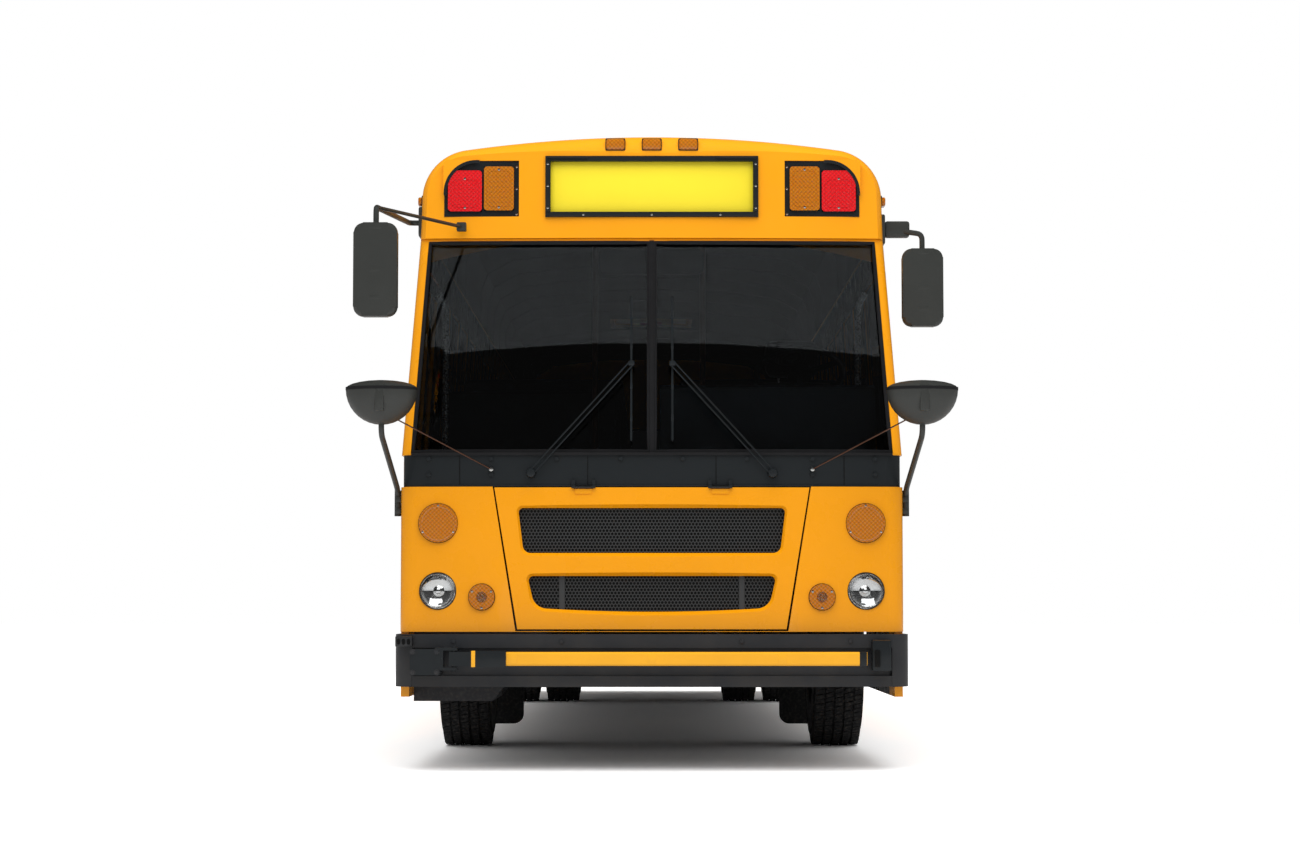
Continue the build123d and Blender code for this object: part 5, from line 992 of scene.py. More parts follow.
def mirrors():
    """Main mirrors with backs, rims and clamps, and domed wide-view mirrors, on their tube arms."""
    shape = Shape()
    for side, (x, set_back, low, high, root_z, top_z) in ((-1, (1.277, -0.600, 2.122, 2.559, 2.707, 2.634)),
                                                          (1, (1.347, 0.350, 2.175, 2.565, 2.670, 2.640))):
        x *= side
        y = FACE_Y + set_back
        middle = (low + high) / 2
        outline = round_rect(0.101, (high - low) / 2 - 0.001, 0.045, 6)
        shape.prism([(x + u, middle + v) for u, v in outline], "Y", y - 0.039, y + 0.030, mirror_shell,
                    0.020, segments=4)
        inner = round_rect(0.092, (high - low) / 2 - 0.010, 0.038, 6)
        shape.prism([(x + u, middle + v) for u, v in inner], "Y", y + 0.026, y + 0.036, seal_rubber, 0.002)
        glass_outline = round_rect(0.086, (high - low) / 2 - 0.017, 0.034, 6)
        shape.prism([(x + u, middle + v) for u, v in glass_outline], "Y", y + 0.034, y + 0.0385,
                    mirror_face, 0.001)
        shape.box((x - 0.086, y + 0.035, low + 0.12), (x + 0.086, y + 0.0395, low + 0.126), seal_rubber)
        root_y = CAP_FACE + 0.150
        shape.tube([(side * 1.132, root_y, root_z), (side * 1.215, root_y, root_z), (x, y, top_z),
                    (x, y, high - 0.02)],
                   0.0135, mirror_shell, 0.03, 14)
        shape.tube([(x, y + 0.004, high - 0.03), (x, y + 0.004, low + 0.05)], 0.010, mirror_shell)
        shape.prism([(root_y + u, root_z + v) for u, v in round_rect(0.060, 0.075, 0.02)], "X",
                    *sorted((side * 1.128, side * 1.166)), mirror_shell, 0.006)
        for z in (high - 0.02, middle, low + 0.09):
            shape.box((x - 0.028, y - 0.0395, z - 0.014), (x + 0.028, y - 0.030, z + 0.014), mirror_shell,
                      0.004)
    shape.box((1.166, CAP_FACE + 0.110, 2.632), (1.290, CAP_FACE + 0.175, 2.712), mirror_shell, 0.012)
    right_y = -6.345
    shape.tube([(-1.277, right_y, 2.634), (-0.942, -5.500, 2.662)], 0.0085, mirror_shell)
    shape.box((-0.966, -5.512, 2.640), (-0.918, -5.470, 2.684), mirror_shell, 0.006)
    for side in SIDES:
        x = side * WIDE_MIRROR_X
        y = WIDE_MIRROR_Y
        low, rim, high = WIDE_MIRROR_Z
        bowl = [(low, 0)] + [(rim - (rim - low) * math.sin(math.radians(a)),
                              WIDE_MIRROR_RADIUS * math.cos(math.radians(a)))
                             for a in range(80, -1, -10)]
        lid = [(rim + (high - rim) * math.sin(math.radians(a)),
                WIDE_MIRROR_RADIUS * math.cos(math.radians(a)))
               for a in (8, 20, 35, 50, 65, 80)] + [(high, 0)]
        squeeze = Matrix.Translation((x, y, 0)) @ Matrix.Diagonal((1, 0.675, 1, 1))
        bottom = bowl + [(rim + 0.002, 0.165), (rim + 0.002, 0)]
        shape.lathe(bottom, "Z", (0, 0, 0), mirror_shell, 40, place=squeeze)
        shape.lathe([(rim, 0), (rim, 0.1695)] + lid[1:], "Z", (0, 0, 0), mirror_shell, 40, place=squeeze)
        shape.lathe([(rim - 0.006, 0.160), (rim - 0.006, 0.1698), (rim + 0.008, 0.1698),
                     (rim + 0.008, 0.160)], "Z",
                    (0, 0, 0), seal_rubber, 40, place=squeeze)
        shape.box((x - 0.022, y - 0.113, 1.70), (x + 0.022, y - 0.088, 1.83), mirror_shell, 0.006)
        foot = [(side * 1.237, -5.615, 1.351), (side * 1.237, -5.615, 1.226)]
        shape.tube([(x, y, 1.68), (x, y, 1.596)] + foot, 0.0135, mirror_shell, 0.04, 14)
        shape.tube(foot, 0.0165, mirror_shell)
        near, far = sorted((side * 1.2195, side * 1.245))
        for z in (1.250, 1.306):
            shape.box((near, -5.640, z - 0.013), (far, -5.590, z + 0.013), mirror_shell, 0.004)
        shape.tube([(side * 1.262, y + 0.05, 1.70), (side * STAY_X, -5.738, STAY_Z)], 0.0035, copper_rod)
        shape.lathe([(0.004, 0), (0.004, 0.012), (-0.010, 0.010), (-0.014, 0)], "Y",
                    (side * STAY_X, -5.732, STAY_Z),
                    bright_metal, 16)
    piece = shape.piece("mirror_set", "bus", "mirror_black")
    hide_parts("mirrors")


ARM_Z = 0.539
CATCH_X = -1.185


def front_extras():
    """Sleeve, latch and ends of the crossing arm, and the bumper's fittings."""
    arm = Shape()
    y = BUMPER_FRONT - 0.060
    arm.prism([(y + u, ARM_Z + v) for u, v in round_rect(0.0232, 0.0392, 0.002)], "X", -0.838, -0.692,
              trim_paint, 0.001)
    arm.prism([(y + u, ARM_Z + v) for u, v in round_rect(0.0224, 0.0384, 0.002)], "X", -0.857, -0.838,
              arm_paint, 0.001)
    arm.box((-0.9625, y - 0.0206, 0.5055), (-0.857, y + 0.0206, 0.5725), trim_paint, 0.0)
    arm.prism([(y + u, ARM_Z + v) for u, v in round_rect(0.0175, 0.034, 0.010)], "X", 0.985, 1.0215,
              trim_paint, 0.004)
    for x in (-0.66, 0.0, 0.62):
        arm.box((x - 0.02, y - 0.0168, 0.515), (x + 0.02, y - 0.0155, 0.563), arm_paint, 0.0004)
    arm.piece("crossing_arm_sleeve", "crossing_arm", "trim_black")
    fittings = Shape()
    front = BUMPER_FRONT
    fittings.box((1.050, front - 0.040, 0.480), (1.140, front + 0.046, 0.628), trim_paint, 0.008)
    fittings.box((1.060, front - 0.056, 0.500), (1.085, front - 0.036, 0.580), shade_and_seam_black, 0.003)
    x = CATCH_X
    fittings.box((x - 0.040, front - 0.006, 0.596), (x + 0.040, front + 0.060, 0.646), bumper_paint, 0.004)
    # The catch's three slots are near-black shapes: painted shade for their openings.
    for dx in (-0.024, 0, 0.024):
        fittings.prism([(x + dx + u, 0.620 + v) for u, v in round_rect(0.008, 0.014, 0.0078)], "Y",
                       front - 0.008,
                       front + 0.010, shade_and_seam_black)
    fittings.piece("bumper_fittings", "bus", "bumper_grey")
    bolts = []
    for x in (-0.95, -0.43, 0.43, 0.95):
        bolts.append(((x, front + 0.046 * (x / 1.2) ** 2, 0.622), AHEAD))
    for x in (-1.136, -1.021):
        for z in (0.475, 0.573):
            bolts.append(((x, front - 0.075, z), AHEAD))
    fasten("bumper_bolts", bolt, bolts, bumper_paint, "bus")


# Wheels
TYRE_HALF = 0.140
TREAD_BLOCKS = 56
TREAD_FOOT = 0.508
RIBS = (-0.106, -0.053, 0.0, 0.053, 0.106)
RIM_NUTS = 10
NUT_CIRCLE = 0.128


def tread_blocks(block):
    """One pitch of the tread: two blocks in each of five ribs, the outer ribs wider and lower."""
    step = 2 * math.pi / TREAD_BLOCKS
    for i, x in enumerate(RIBS):
        inner = abs(x) < 0.1
        wide = 0.021 if inner else 0.023
        skew = 0.25 * step * (1 if i % 2 else -1)
        for part in (0.05, 0.52):
            start = step * part + (skew if inner else 0)
            end = start + step * 0.41
            made = bmesh.new()
            corners = []
            for r, share in ((TREAD_FOOT, 1), (0.5245 if inner else 0.5215, 0.93)):
                for a, dx in ((start, -1), (start, 1), (end, 1), (end, -1)):
                    turn = a + 0.10 * step * dx
                    corners.append(made.verts.new((x + dx * wide * share, r * math.sin(turn),
                                                   r * math.cos(turn))))
            for face in ((0, 1, 2, 3), (4, 5, 6, 7), (0, 1, 5, 4), (1, 2, 6, 5), (2, 3, 7, 6),
                         (3, 0, 4, 7)):
                made.faces.new([corners[k] for k in face])
            block.take(made, tyre_rubber, None, False)


def detailed_tyre(node, body, middles, axle_y):
    """A carcass with rounded walls and beads, and five tread ribs cut into blocks."""
    name = f"{node}_detailed"
    half = TYRE_HALF
    wall = [(half - 0.026, 0.2865), (half - 0.006, 0.300), (half, 0.330), (half, 0.390),
            (half - 0.002, 0.430),
            (half - 0.008, 0.470), (half - 0.022, 0.500), (half - 0.040, 0.5125), (0.080, 0.512)]
    profile = [(-w, radius) for w, radius in wall] + wall[::-1]
    shape = Shape()
    for middle in middles:
        shape.lathe(profile, "X", (middle, axle_y, WHEEL_RADIUS), tyre_rubber, 96)
        for radius in (0.318, 0.352, 0.455):
            for face in SIDES:
                x = middle + face * (half - 0.0045)
                shape.lathe([(-0.004, radius - 0.004), (-0.004, radius + 0.004), (0.004, radius + 0.003),
                             (0.004, radius - 0.003)], "X", (x, axle_y, WHEEL_RADIUS), tyre_rubber, 72)
    carcass = shape.piece(name, body, "tyre")
    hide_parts(node)
    for index, middle in enumerate(middles):
        block = Shape()
        tread_blocks(block)
        data = bpy.data.meshes.new("tread_block")
        data.from_pydata(block.points, [], block.faces)
        grown(f"{name}_tread_{index}", data, ring_copies,
              {"Count": TREAD_BLOCKS, "Axle": (middle, axle_y, WHEEL_RADIUS),
               "Finish": tyre_rubber}, body)


def nut_ring(name, body, x, axle_y, facing):
    """The wheel nuts on their circle, facing outwards."""
    turn = Matrix.Rotation(math.radians(90 * facing), 4, "Y")
    head = hex_head(0.019, 0.030)
    points = [turn @ Vector(point) + Vector((x, 0, NUT_CIRCLE)) for point in head.points]
    data = bpy.data.meshes.new(name + "_seed")
    data.from_pydata(points, [], head.faces)
    grown(name, data, ring_copies, {"Count": RIM_NUTS, "Axle": (0, axle_y, WHEEL_RADIUS),
                                    "Finish": bright_metal},
          body)


def wheels():
    for side, word in ((1, "left"), (-1, "right")):
        front, rear = f"front_wheel_{word}", f"rear_wheels_{word}"
        detailed_tyre(f"front_tyre_{word}", front, (side * 1.040,), FRONT_AXLE)
        detailed_tyre(f"rear_tyres_{word}", rear, (side * 1.060, side * 0.725), REAR_AXLE)
        nut_ring(f"front_nuts_{word}", front, side * 1.132, FRONT_AXLE, side)
        nut_ring(f"rear_nuts_{word}", rear, side * 0.907, REAR_AXLE, side)


# Soft pieces
SEAT_PITCH = 0.711
FIRST_BENCH = FACE_Y + 2.330
BENCH_WIDE = 0.960
BENCH_OUTER = 1.114
WINDOW_FIRST = FACE_Y + 1.780
WINDOW_SILL = 1.720
WINDOW_TOP = 2.450
WINDOW_HALF = 0.320
EXIT_WINDOW = 6
EXIT_MIDDLE = WINDOW_FIRST + EXIT_WINDOW * SEAT_PITCH
POSTS = [WINDOW_FIRST - SEAT_PITCH / 2 + i * SEAT_PITCH for i in range(15)]
SCREENS = ((-1, FACE_Y + 1.800), (1, FACE_Y + 1.950))
WHEEL_BOX_TOP = 1.190
REAR_PLATFORM = 1.320
SIDE_PULL = 0.006


def pad_lines(half, rim, cuts, seams=()):
    """Places along an edge of a padded form, close together in its rounded rims and beside each seam."""
    places = [half * i / cuts for i in range(-cuts, cuts + 1) if abs(half * i / cuts) < half - rim * 1.2]
    for sign in SIDES:
        places += [sign * (half - rim * (1 - t)) for t in (0, 0.35, 0.7, 1)]
    for seam in seams:
        places += [seam - 0.012, seam - 0.005, seam, seam + 0.005, seam + 0.012]
    return sorted({round(place, 5) for place in places})


def pad(shape, low, high, finish, crown=(0.004, 0.006, 0.018), rim=0.03, face=2, seams=(), seed=0,
        welt=None):
    """A stuffed form: crowned faces, sides pulled in between corners, sewn channels and a piped rim."""
    centre = Vector([(a + b) / 2 for a, b in zip(low, high)])
    half = [(b - a) / 2 - c for a, b, c in zip(low, high, crown)]
    other = 0 if face == 2 else 2

    def form(point):
        kept = Vector([max(rim - h, min(h - rim, c)) for c, h in zip(point, half)])
        out = (Vector(point) - kept).normalized()
        share = [1 - min(1, abs(c) / h) ** 2 for c, h in zip(point, half)]
        moved = kept + out * rim
        for axis in range(3):
            rest = [share[k] for k in range(3) if k != axis]
            moved[axis] += crown[axis] * out[axis] * rest[0] * rest[1]
            moved[axis] -= SIDE_PULL * out[axis] * rest[0] * (1 - rest[1]) * (axis != face)
        dent = sum(math.exp(-((point[0] - seam) / 0.006) ** 2) for seam in seams)
        moved[face] -= 0.006 * dent * out[face] * min(1, share[other] * 6)
        ripple = math.sin(19 * point[0] + 2.3 * seed) * math.sin(23 * point[other] + 1.7 * seed)
        moved[face] += (0.0016 * ripple - 0.0016) * out[face] * share[0]
        return centre + moved

    lines = [pad_lines(half[0], rim, 9, seams), pad_lines(half[1], rim, 4), pad_lines(half[2], rim, 4)]
    made = bmesh.new()
    known = {}

    def corner(i, j, k):
        if (i, j, k) not in known:
            known[i, j, k] = made.verts.new(form((lines[0][i], lines[1][j], lines[2][k])))
        return known[i, j, k]
    for axis in range(3):
        first, second = [k for k in range(3) if k != axis]
        for end in (0, len(lines[axis]) - 1):
            for a in range(len(lines[first]) - 1):
                for b in range(len(lines[second]) - 1):
                    ring_points = []
                    for da, db in ((0, 0), (1, 0), (1, 1), (0, 1)):
                        place = [0, 0, 0]
                        place[axis], place[first], place[second] = end, a + da, b + db
                        ring_points.append(corner(*place))
                    made.faces.new(ring_points)
    shape.take(made, finish)
    if welt:
        first, second = [k for k in range(3) if k != face]
        for end in SIDES:
            path = []
            for a_from, b_from, a_to, b_to in ((-1, -1, 1, -1), (1, -1, 1, 1), (1, 1, -1, 1),
                                               (-1, 1, -1, -1)):
                for step in range(10):
                    t = step / 10
                    point = [0, 0, 0]
                    point[face] = end * half[face]
                    point[first] = (a_from + (a_to - a_from) * t) * half[first]
                    point[second] = (b_from + (b_to - b_from) * t) * half[second]
                    path.append(form(point))
            shape.sweep(path, circle(0.0035, 6), welt, up=frame_of("XYZ"[face])[2], closed=True)


def bench_rows():
    """Side, front edge and seat height of each bench."""
    rows = []
    for side in SIDES:
        for i in range(12):
            y = FIRST_BENCH + i * SEAT_PITCH
            if side > 0 and abs(y + 0.300 - EXIT_MIDDLE) < 0.380:
                continue
            floor_z = FLOOR_TOP
            for axle, half in ((FRONT_AXLE, 0.660), (REAR_AXLE, 0.640)):
                if y + 0.080 < axle + half and y + 0.380 > axle - half:
                    floor_z = WHEEL_BOX_TOP
            if y + 0.560 > FACE_Y + 10.150:
                floor_z = REAR_PLATFORM
            rows.append((side, y, max(FLOOR_TOP + 0.430, floor_z + 0.200)))
    return rows


def benches():
    """Vinyl benches: a crowned cushion, and a tall back with two sewn channels, on the tube frames."""
    cushions = Shape()
    backs = Shape()
    for seed, (side, y, top) in enumerate(bench_rows()):
        x_low, x_high = sorted((side * (BENCH_OUTER - BENCH_WIDE), side * BENCH_OUTER))
        seams = (-0.160, 0.160)
        pad(cushions, (x_low, y + 0.002, top - 0.129), (x_high, y + 0.398, top - 0.001), seat_vinyl,
            seed=seed, seams=seams,
            welt=welt_cord)
        pad(backs, (x_low + 0.002, y + 0.4015, top - 0.128), (x_high - 0.002, y + 0.494, top + 0.688),
            seat_vinyl,
            crown=(0.004, 0.010, 0.006), rim=0.032, face=1, seed=seed + 40, seams=seams, welt=welt_cord)
    for side, y in SCREENS:
        x_low, x_high = sorted((side * 0.190, side * 1.140))
        pad(backs, (x_low, y, 1.262), (x_high, y + 0.050, 1.974), seat_vinyl, crown=(0.004, 0.006, 0.006),
            rim=0.018, face=1,
            welt=welt_cord)
    seats = cushions.piece("bench_cushions", "bus", "seat_vinyl", 60)
    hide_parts("seat_cushions")
    rests = backs.piece("bench_backs", "bus", "seat_vinyl", 60)
    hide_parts("seat_backs")
    feet = Shape()
    for side, y in SCREENS:
        for foot, floor_z in ((0.230, FLOOR_TOP), (1.080, WHEEL_BOX_TOP)):
            x = side * foot
            feet.tube([(x, y + 0.025, floor_z), (x, y + 0.025, 1.275)], 0.0165, aluminium, sides=16)
            feet.lathe([(0, 0.034), (0.006, 0.034), (0.010, 0.020), (0.010, 0), (0, 0)], "Z",
                       (x, y + 0.025, floor_z), aluminium,
                       20)
    feet.piece("screen_feet", "bus", "frame_black")


def driver_seat():
    """The driver's cushion, bolstered back and headrest on a bellows base."""
    soft = Shape()
    x, y = 0.765, FACE_Y + 0.900
    pad(soft, (x - 0.248, y + 0.254, 1.392), (x + 0.248, y + 0.686, 1.512), driver_cloth,
        crown=(0.006, 0.010, 0.012), rim=0.04,
        seams=(-0.150, 0.150), welt=welt_cord)
    for side in SIDES:
        a, b = sorted((x + side * 0.165, x + side * 0.249))
        pad(soft, (a, y + 0.300, 1.455), (b, y + 0.680, 1.519), driver_cloth, crown=(0.004, 0.004, 0.008),
            rim=0.024)
        pad(soft, (a, y + 0.722, 1.520), (b, y + 0.800, 1.960), driver_cloth, crown=(0.004, 0.008, 0.006),
            rim=0.026, face=1)
    pad(soft, (x - 0.235, y + 0.735, 1.392), (x + 0.235, y + 0.829, 2.010), driver_cloth,
        crown=(0.006, 0.010, 0.010),
        rim=0.036, face=1, seams=(-0.140, 0.140), welt=welt_cord)
    pad(soft, (x - 0.150, y + 0.733, 2.030), (x + 0.150, y + 0.827, 2.238), driver_cloth,
        crown=(0.006, 0.012, 0.008),
        rim=0.036, face=1, welt=welt_cord)
    piece = soft.piece("driver_seat_pads", "bus", "driver_cloth", 60)
    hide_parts("driver_seat")
    base = Shape()
    middle = y + 0.500
    for k in range(9):
        z = 1.030 + k * 0.034
        wide = 0.190 if k % 2 else 0.215
        base.prism([(x + u, middle + v) for u, v in round_rect(wide, wide - 0.010, 0.04)], "Z", z,
                   z + 0.036, flap_rubber, 0.012)
    base.prism([(x + u, middle + v) for u, v in round_rect(0.228, 0.210, 0.02)], "Z", 1.000, 1.032,
               frame_paint, 0.006)
    base.prism([(x + u, middle + v) for u, v in round_rect(0.232, 0.214, 0.03)], "Z", 1.340, 1.388,
               dash_shell, 0.010)
    for side in SIDES:
        a, b = sorted((x + side * 0.180, x + side * 0.205))
        base.box((a, y + 0.700, 1.320), (b, y + 0.718, 1.520), frame_paint, 0.004)
        base.tube([(x + side * 0.07, y + 0.78, 2.00), (x + side * 0.07, y + 0.78, 2.045)], 0.007,
                  bright_metal)
    base.tube([(x - 0.236, y + 0.33, 1.36), (x - 0.236, y + 0.27, 1.36)], 0.008, trim_paint)
    base.lathe([(0, 0), (0, 0.018), (0.012, 0.020), (0.020, 0.010), (0.022, 0)], "Z",
               (x - 0.205, y + 0.30, 1.372), trim_paint, 16)
    stand = base.piece("driver_seat_base", "bus", "frame_black")
    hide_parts("driver_seat")


# Cabin
def cabin():
    """Ceiling sheets split at the hatches, joint strips, front header, mirror, posts and gauges."""
    shell = Shape()
    arc = [(1.106, 2.615), (1.099, 2.826), (1.060, 2.928), (0.900, 3.018), (0.450, 3.068), (0.0, 3.083)]
    whole = arc + [(-x, z) for x, z in arc[-2::-1]]
    edge = [point for point in arc if point[0] > 0.4] + [(0.330, 3.074)]

    def sheet_of(line, y_low, y_high):
        inner = [(x * 0.9965, z - 0.004) for x, z in line]
        shell.prism(line + inner[::-1], "Y", y_low, y_high, liner_grey)
    stops = [-5.200] + [stop for y in ROOF_HATCHES for stop in (y - HATCH_HALF, y + HATCH_HALF)] + [6.200]
    for low, high in zip(stops[::2], stops[1::2]):
        sheet_of(whole, low, high)
    for y in ROOF_HATCHES:
        sheet_of(edge, y - HATCH_HALF, y + HATCH_HALF)
        sheet_of([(-x, z) for x, z in edge], y - HATCH_HALF, y + HATCH_HALF)
    for y in POSTS:
        if min(abs(y - hatch) for hatch in ROOF_HATCHES) < HATCH_HALF + 0.030:
            continue
        path = [(x * 0.995, y, z - 0.006) for x, z in whole]
        shell.sweep(path, [(-0.02, -0.002), (0.02, -0.002), (0.02, 0.002), (-0.02, 0.002)], liner_grey,
                    smooth=False)
    shell.prism([(-5.250, 2.640), (-5.060, 2.640), (-5.000, 2.800), (-5.000, 2.960), (-5.250, 2.960)], "X",
                -0.950, 0.950,
                dash_shell, 0.010)
    shell.piece("cabin_liner", "bus", "dash_grey")
    fittings = Shape()
    fittings.prism(round_rect(0.260, 0.062, 0.03), "Y", -5.400, -5.380, trim_paint, 0.006,
                   place=Matrix.Translation((0, 0, 2.500)))
    fittings.prism(round_rect(0.248, 0.052, 0.026), "Y", -5.381, -5.377, mirror_face, 0.001,
                   place=Matrix.Translation((0, 0, 2.500)))
    fittings.tube([(0, -5.385, 2.560), (0, -5.300, 2.650)], 0.010, trim_paint)
    for x in (-0.310, 0.280):
        y = FACE_Y + 1.770
        fittings.tube([(x, y, FLOOR_TOP), (x, y, 3.066)], 0.016, copper_rod, sides=16)
        for z in (FLOOR_TOP, 3.052):
            fittings.lathe([(0, 0), (0, 0.036), (0.012, 0.030), (0.014, 0)], "Z", (x, y, z), bright_metal,
                           20)
    for side in SIDES:
        fittings.tube([(side * 1.09, FACE_Y + 0.52, 1.30), (side * 1.04, FACE_Y + 0.56, 1.36),
                       (side * 1.04, FACE_Y + 0.56, 2.30),
                       (side * 1.075, FACE_Y + 0.52, 2.36)], 0.016, bright_metal, 0.04, 14)
    front = FACE_Y + 0.4005
    for i in range(5):
        x = 0.520 + i * 0.125
        radius = 0.055 if i in (1, 3) else 0.040
        turn = Matrix.Translation((x, front + 0.362, 1.805)) @ Matrix.Rotation(math.radians(22.6), 4, "X")
        fittings.lathe([(0.000, 0), (0.000, radius), (0.014, radius), (0.014, radius - 0.006),
                        (0.004, radius - 0.007),
                        (0.004, 0)], "Y", (0, 0, 0), trim_paint, 28, place=turn)
        fittings.lathe([(0.0045, 0), (0.0045, radius - 0.010), (0.0055, radius - 0.010), (0.0055, 0)], "Y",
                       (0, 0, 0),
                       gauge_white, 28, place=turn)
        needle = turn @ Matrix.Rotation(math.radians(40 + 35 * i), 4, "Y")
        fittings.box((-0.002, 0.006, -0.005), (0.002, 0.008, radius - 0.014), red_lens, place=needle)
    fittings.piece("cabin_fittings", "bus", "trim_black")


# Sides, doors and back
def on_side(side, y, z, out=0.0):
    return Vector((side * (side_x(z) + out), y, z))


def framed(shape, side, y, low, high, half, section, finish, corner=0.04):
    """A moulding round an upright opening in the leaning side."""
    middle = (low + high) / 2
    path = [on_side(side, y + u, middle + v) for u, v in round_rect(half, (high - low) / 2, corner, 3)]
    shape.sweep(path, section, finish, up=(side, 0, 0.06), closed=True, smooth=False)


FRAME = [(-0.012, -0.024), (0.016, -0.024), (0.016, 0.002), (0.010, 0.006), (-0.006, 0.006),
         (-0.012, 0.002)]


def side_windows():
    """Window mouldings, sash rails and latches, and the driver's window."""
    shape = Shape()
    for side in SIDES:
        for i in range(14):
            if side > 0 and i == EXIT_WINDOW:
                continue
            y = WINDOW_FIRST + i * SEAT_PITCH
            framed(shape, side, y, WINDOW_SILL, WINDOW_TOP, WINDOW_HALF, FRAME, trim_paint)
            for z, thick in ((2.130, 0.014), (2.158, 0.010)):
                low = on_side(side, y - WINDOW_HALF + 0.012, z, -0.014)
                high = on_side(side, y + WINDOW_HALF - 0.012, z, -0.014)
                shape.sweep([low, high], [(-thick, -0.007), (thick, -0.007), (thick, 0.007),
                                          (-thick, 0.007)], aluminium,
                            up=(side, 0, 0), smooth=False)
            for dy in (-0.200, 0.200):
                place = on_side(side, y + dy, 2.146, -0.030)
                shape.box(place - Vector((0.008, 0.020, 0.010)), place + Vector((0.008, 0.020, 0.010)),
                          trim_paint, 0.003)
    framed(shape, 1, FACE_Y + 0.905, 1.560, WINDOW_TOP, 0.435, FRAME, trim_paint)
    post = [on_side(1, FACE_Y + 0.905, 1.572, -0.014), on_side(1, FACE_Y + 0.905, WINDOW_TOP - 0.012,
                                                               -0.014)]
    shape.sweep(post, [(-0.012, -0.007), (0.012, -0.007), (0.012, 0.007), (-0.012, 0.007)], aluminium,
                up=(1, 0, 0), smooth=False)
    shape.piece("window_frames", "bus", "trim_black")


def door_trim():
    """Glass rubbers, edge strips and handles of the entrance leaves and the emergency door."""
    thin = [(-0.010, -0.006), (0.012, -0.006), (0.012, 0.001), (0.006, 0.004), (-0.006, 0.004),
            (-0.010, 0.001)]
    start = FACE_Y + 0.430
    for word, y, meeting in (("front", start + 0.207, start + 0.394),
                             ("rear", start + 0.613, start + 0.426)):
        shape = Shape()
        for low, high in ((0.462, 1.490), (1.580, 2.390)):
            framed(shape, -1, y, low, high, 0.144, thin, seal_rubber, corner=0.03)
        strip = [on_side(-1, meeting, z, 0.0015) for z in (0.380, 1.550, 2.465)]
        shape.sweep(strip, [(-0.011, -0.003), (0.011, -0.003), (0.009, 0.002), (-0.009, 0.002)],
                    seal_rubber, up=(-1, 0, 0))
        grip = [on_side(-1, y + 0.10, z, -0.058) for z in (1.25, 1.52)]
        shape.tube([on_side(-1, y + 0.10, 1.25, -0.036), grip[0], grip[1],
                    on_side(-1, y + 0.10, 1.52, -0.036)], 0.010,
                   bright_metal, 0.02)
        shape.piece(f"entry_trim_{word}", f"entry_leaf_{word}", "rubber")
    shape = Shape()
    framed(shape, 1, EXIT_MIDDLE, WINDOW_SILL, 2.390, 0.235, thin, seal_rubber)
    plate = on_side(1, EXIT_MIDDLE + 0.235, 1.360)
    shape.box(plate + Vector((-0.002, -0.045, -0.070)), plate + Vector((0.008, 0.045, 0.070)), trim_paint,
              0.003)
    shape.tube([plate + Vector((0.004, 0, 0.03)), plate + Vector((0.028, 0, 0.03)),
                plate + Vector((0.028, -0.09, 0.03))], 0.009,
               bright_metal, 0.02)
    shape.piece("exit_trim", "exit_door", "rubber")


def rail_spans(side, z):
    """Stretches of a rub rail between the arches and the doors."""
    cuts = []
    if z < 1.145:
        cuts += [(axle - 0.650, axle + 0.650) for axle in (FRONT_AXLE, REAR_AXLE)]
    if side > 0 and z > 0.97:
        cuts.append((EXIT_MIDDLE - 0.360, EXIT_MIDDLE + 0.360))
    if side < 0:
        cuts.append((FACE_Y, FACE_Y + 1.310))
    if side > 0 and z > 1.45:
        cuts.append((FACE_Y, FACE_Y + 1.380))
    start, end = FACE_Y + 0.440, TAIL - (0.280 if z < 0.68 else 0.130)
    spans = []
    for low, high in sorted(cuts):
        if low > start:
            spans.append((start, min(low, end)))
        start = max(start, high)
    spans.append((start, end))
    return [(low, high) for low, high in spans if high - low > 0.1]


def side_rivets():
    """Rivets along the rub rails and down each post of the sides."""
    places = []
    for side in SIDES:
        for z in (0.470, 1.000, 1.370, 1.630):
            for low, high in rail_spans(side, z):
                count = int((high - low - 0.06) / 0.150)
                for i in range(count + 1):
                    y = low + 0.03 + (high - low - 0.06) * i / max(1, count)
                    places.append((on_side(side, y, z, 0.0145), (side, 0, 0)))
        for y in POSTS:
            if side < 0 and y < FACE_Y + 1.35:
                continue
            for k in range(9):
                places.append((on_side(side, y, 1.71 + k * 0.095, 0.0003), (side, 0, 0)))
            if min(abs(y - FRONT_AXLE), abs(y - REAR_AXLE)) < 0.70:
                continue
            for z in (0.56, 0.66, 0.76, 0.86, 0.93, 1.07, 1.16, 1.25, 1.31, 1.45, 1.55):
                if side > 0 and z > 1.0 and abs(y - EXIT_MIDDLE) < 0.38:
                    continue
                places.append((on_side(side, y, z, 0.0003), (side, 0, 0)))
    fasten("side_rivets", rivet, places, body_paint, "bus")


def roof_line(x):
    return ROOF_TOP - 0.066 * (x / 0.930) ** 2


DRIP_RAIL = [(-0.012, -0.006), (0.014, -0.006), (0.014, 0.010), (0.006, 0.016), (0.002, 0.004),
             (-0.012, 0.004)]
CAP_SEAL = [(-0.004, -0.004), (0.004, -0.004), (0.004, 0.0012), (-0.004, 0.0012)]


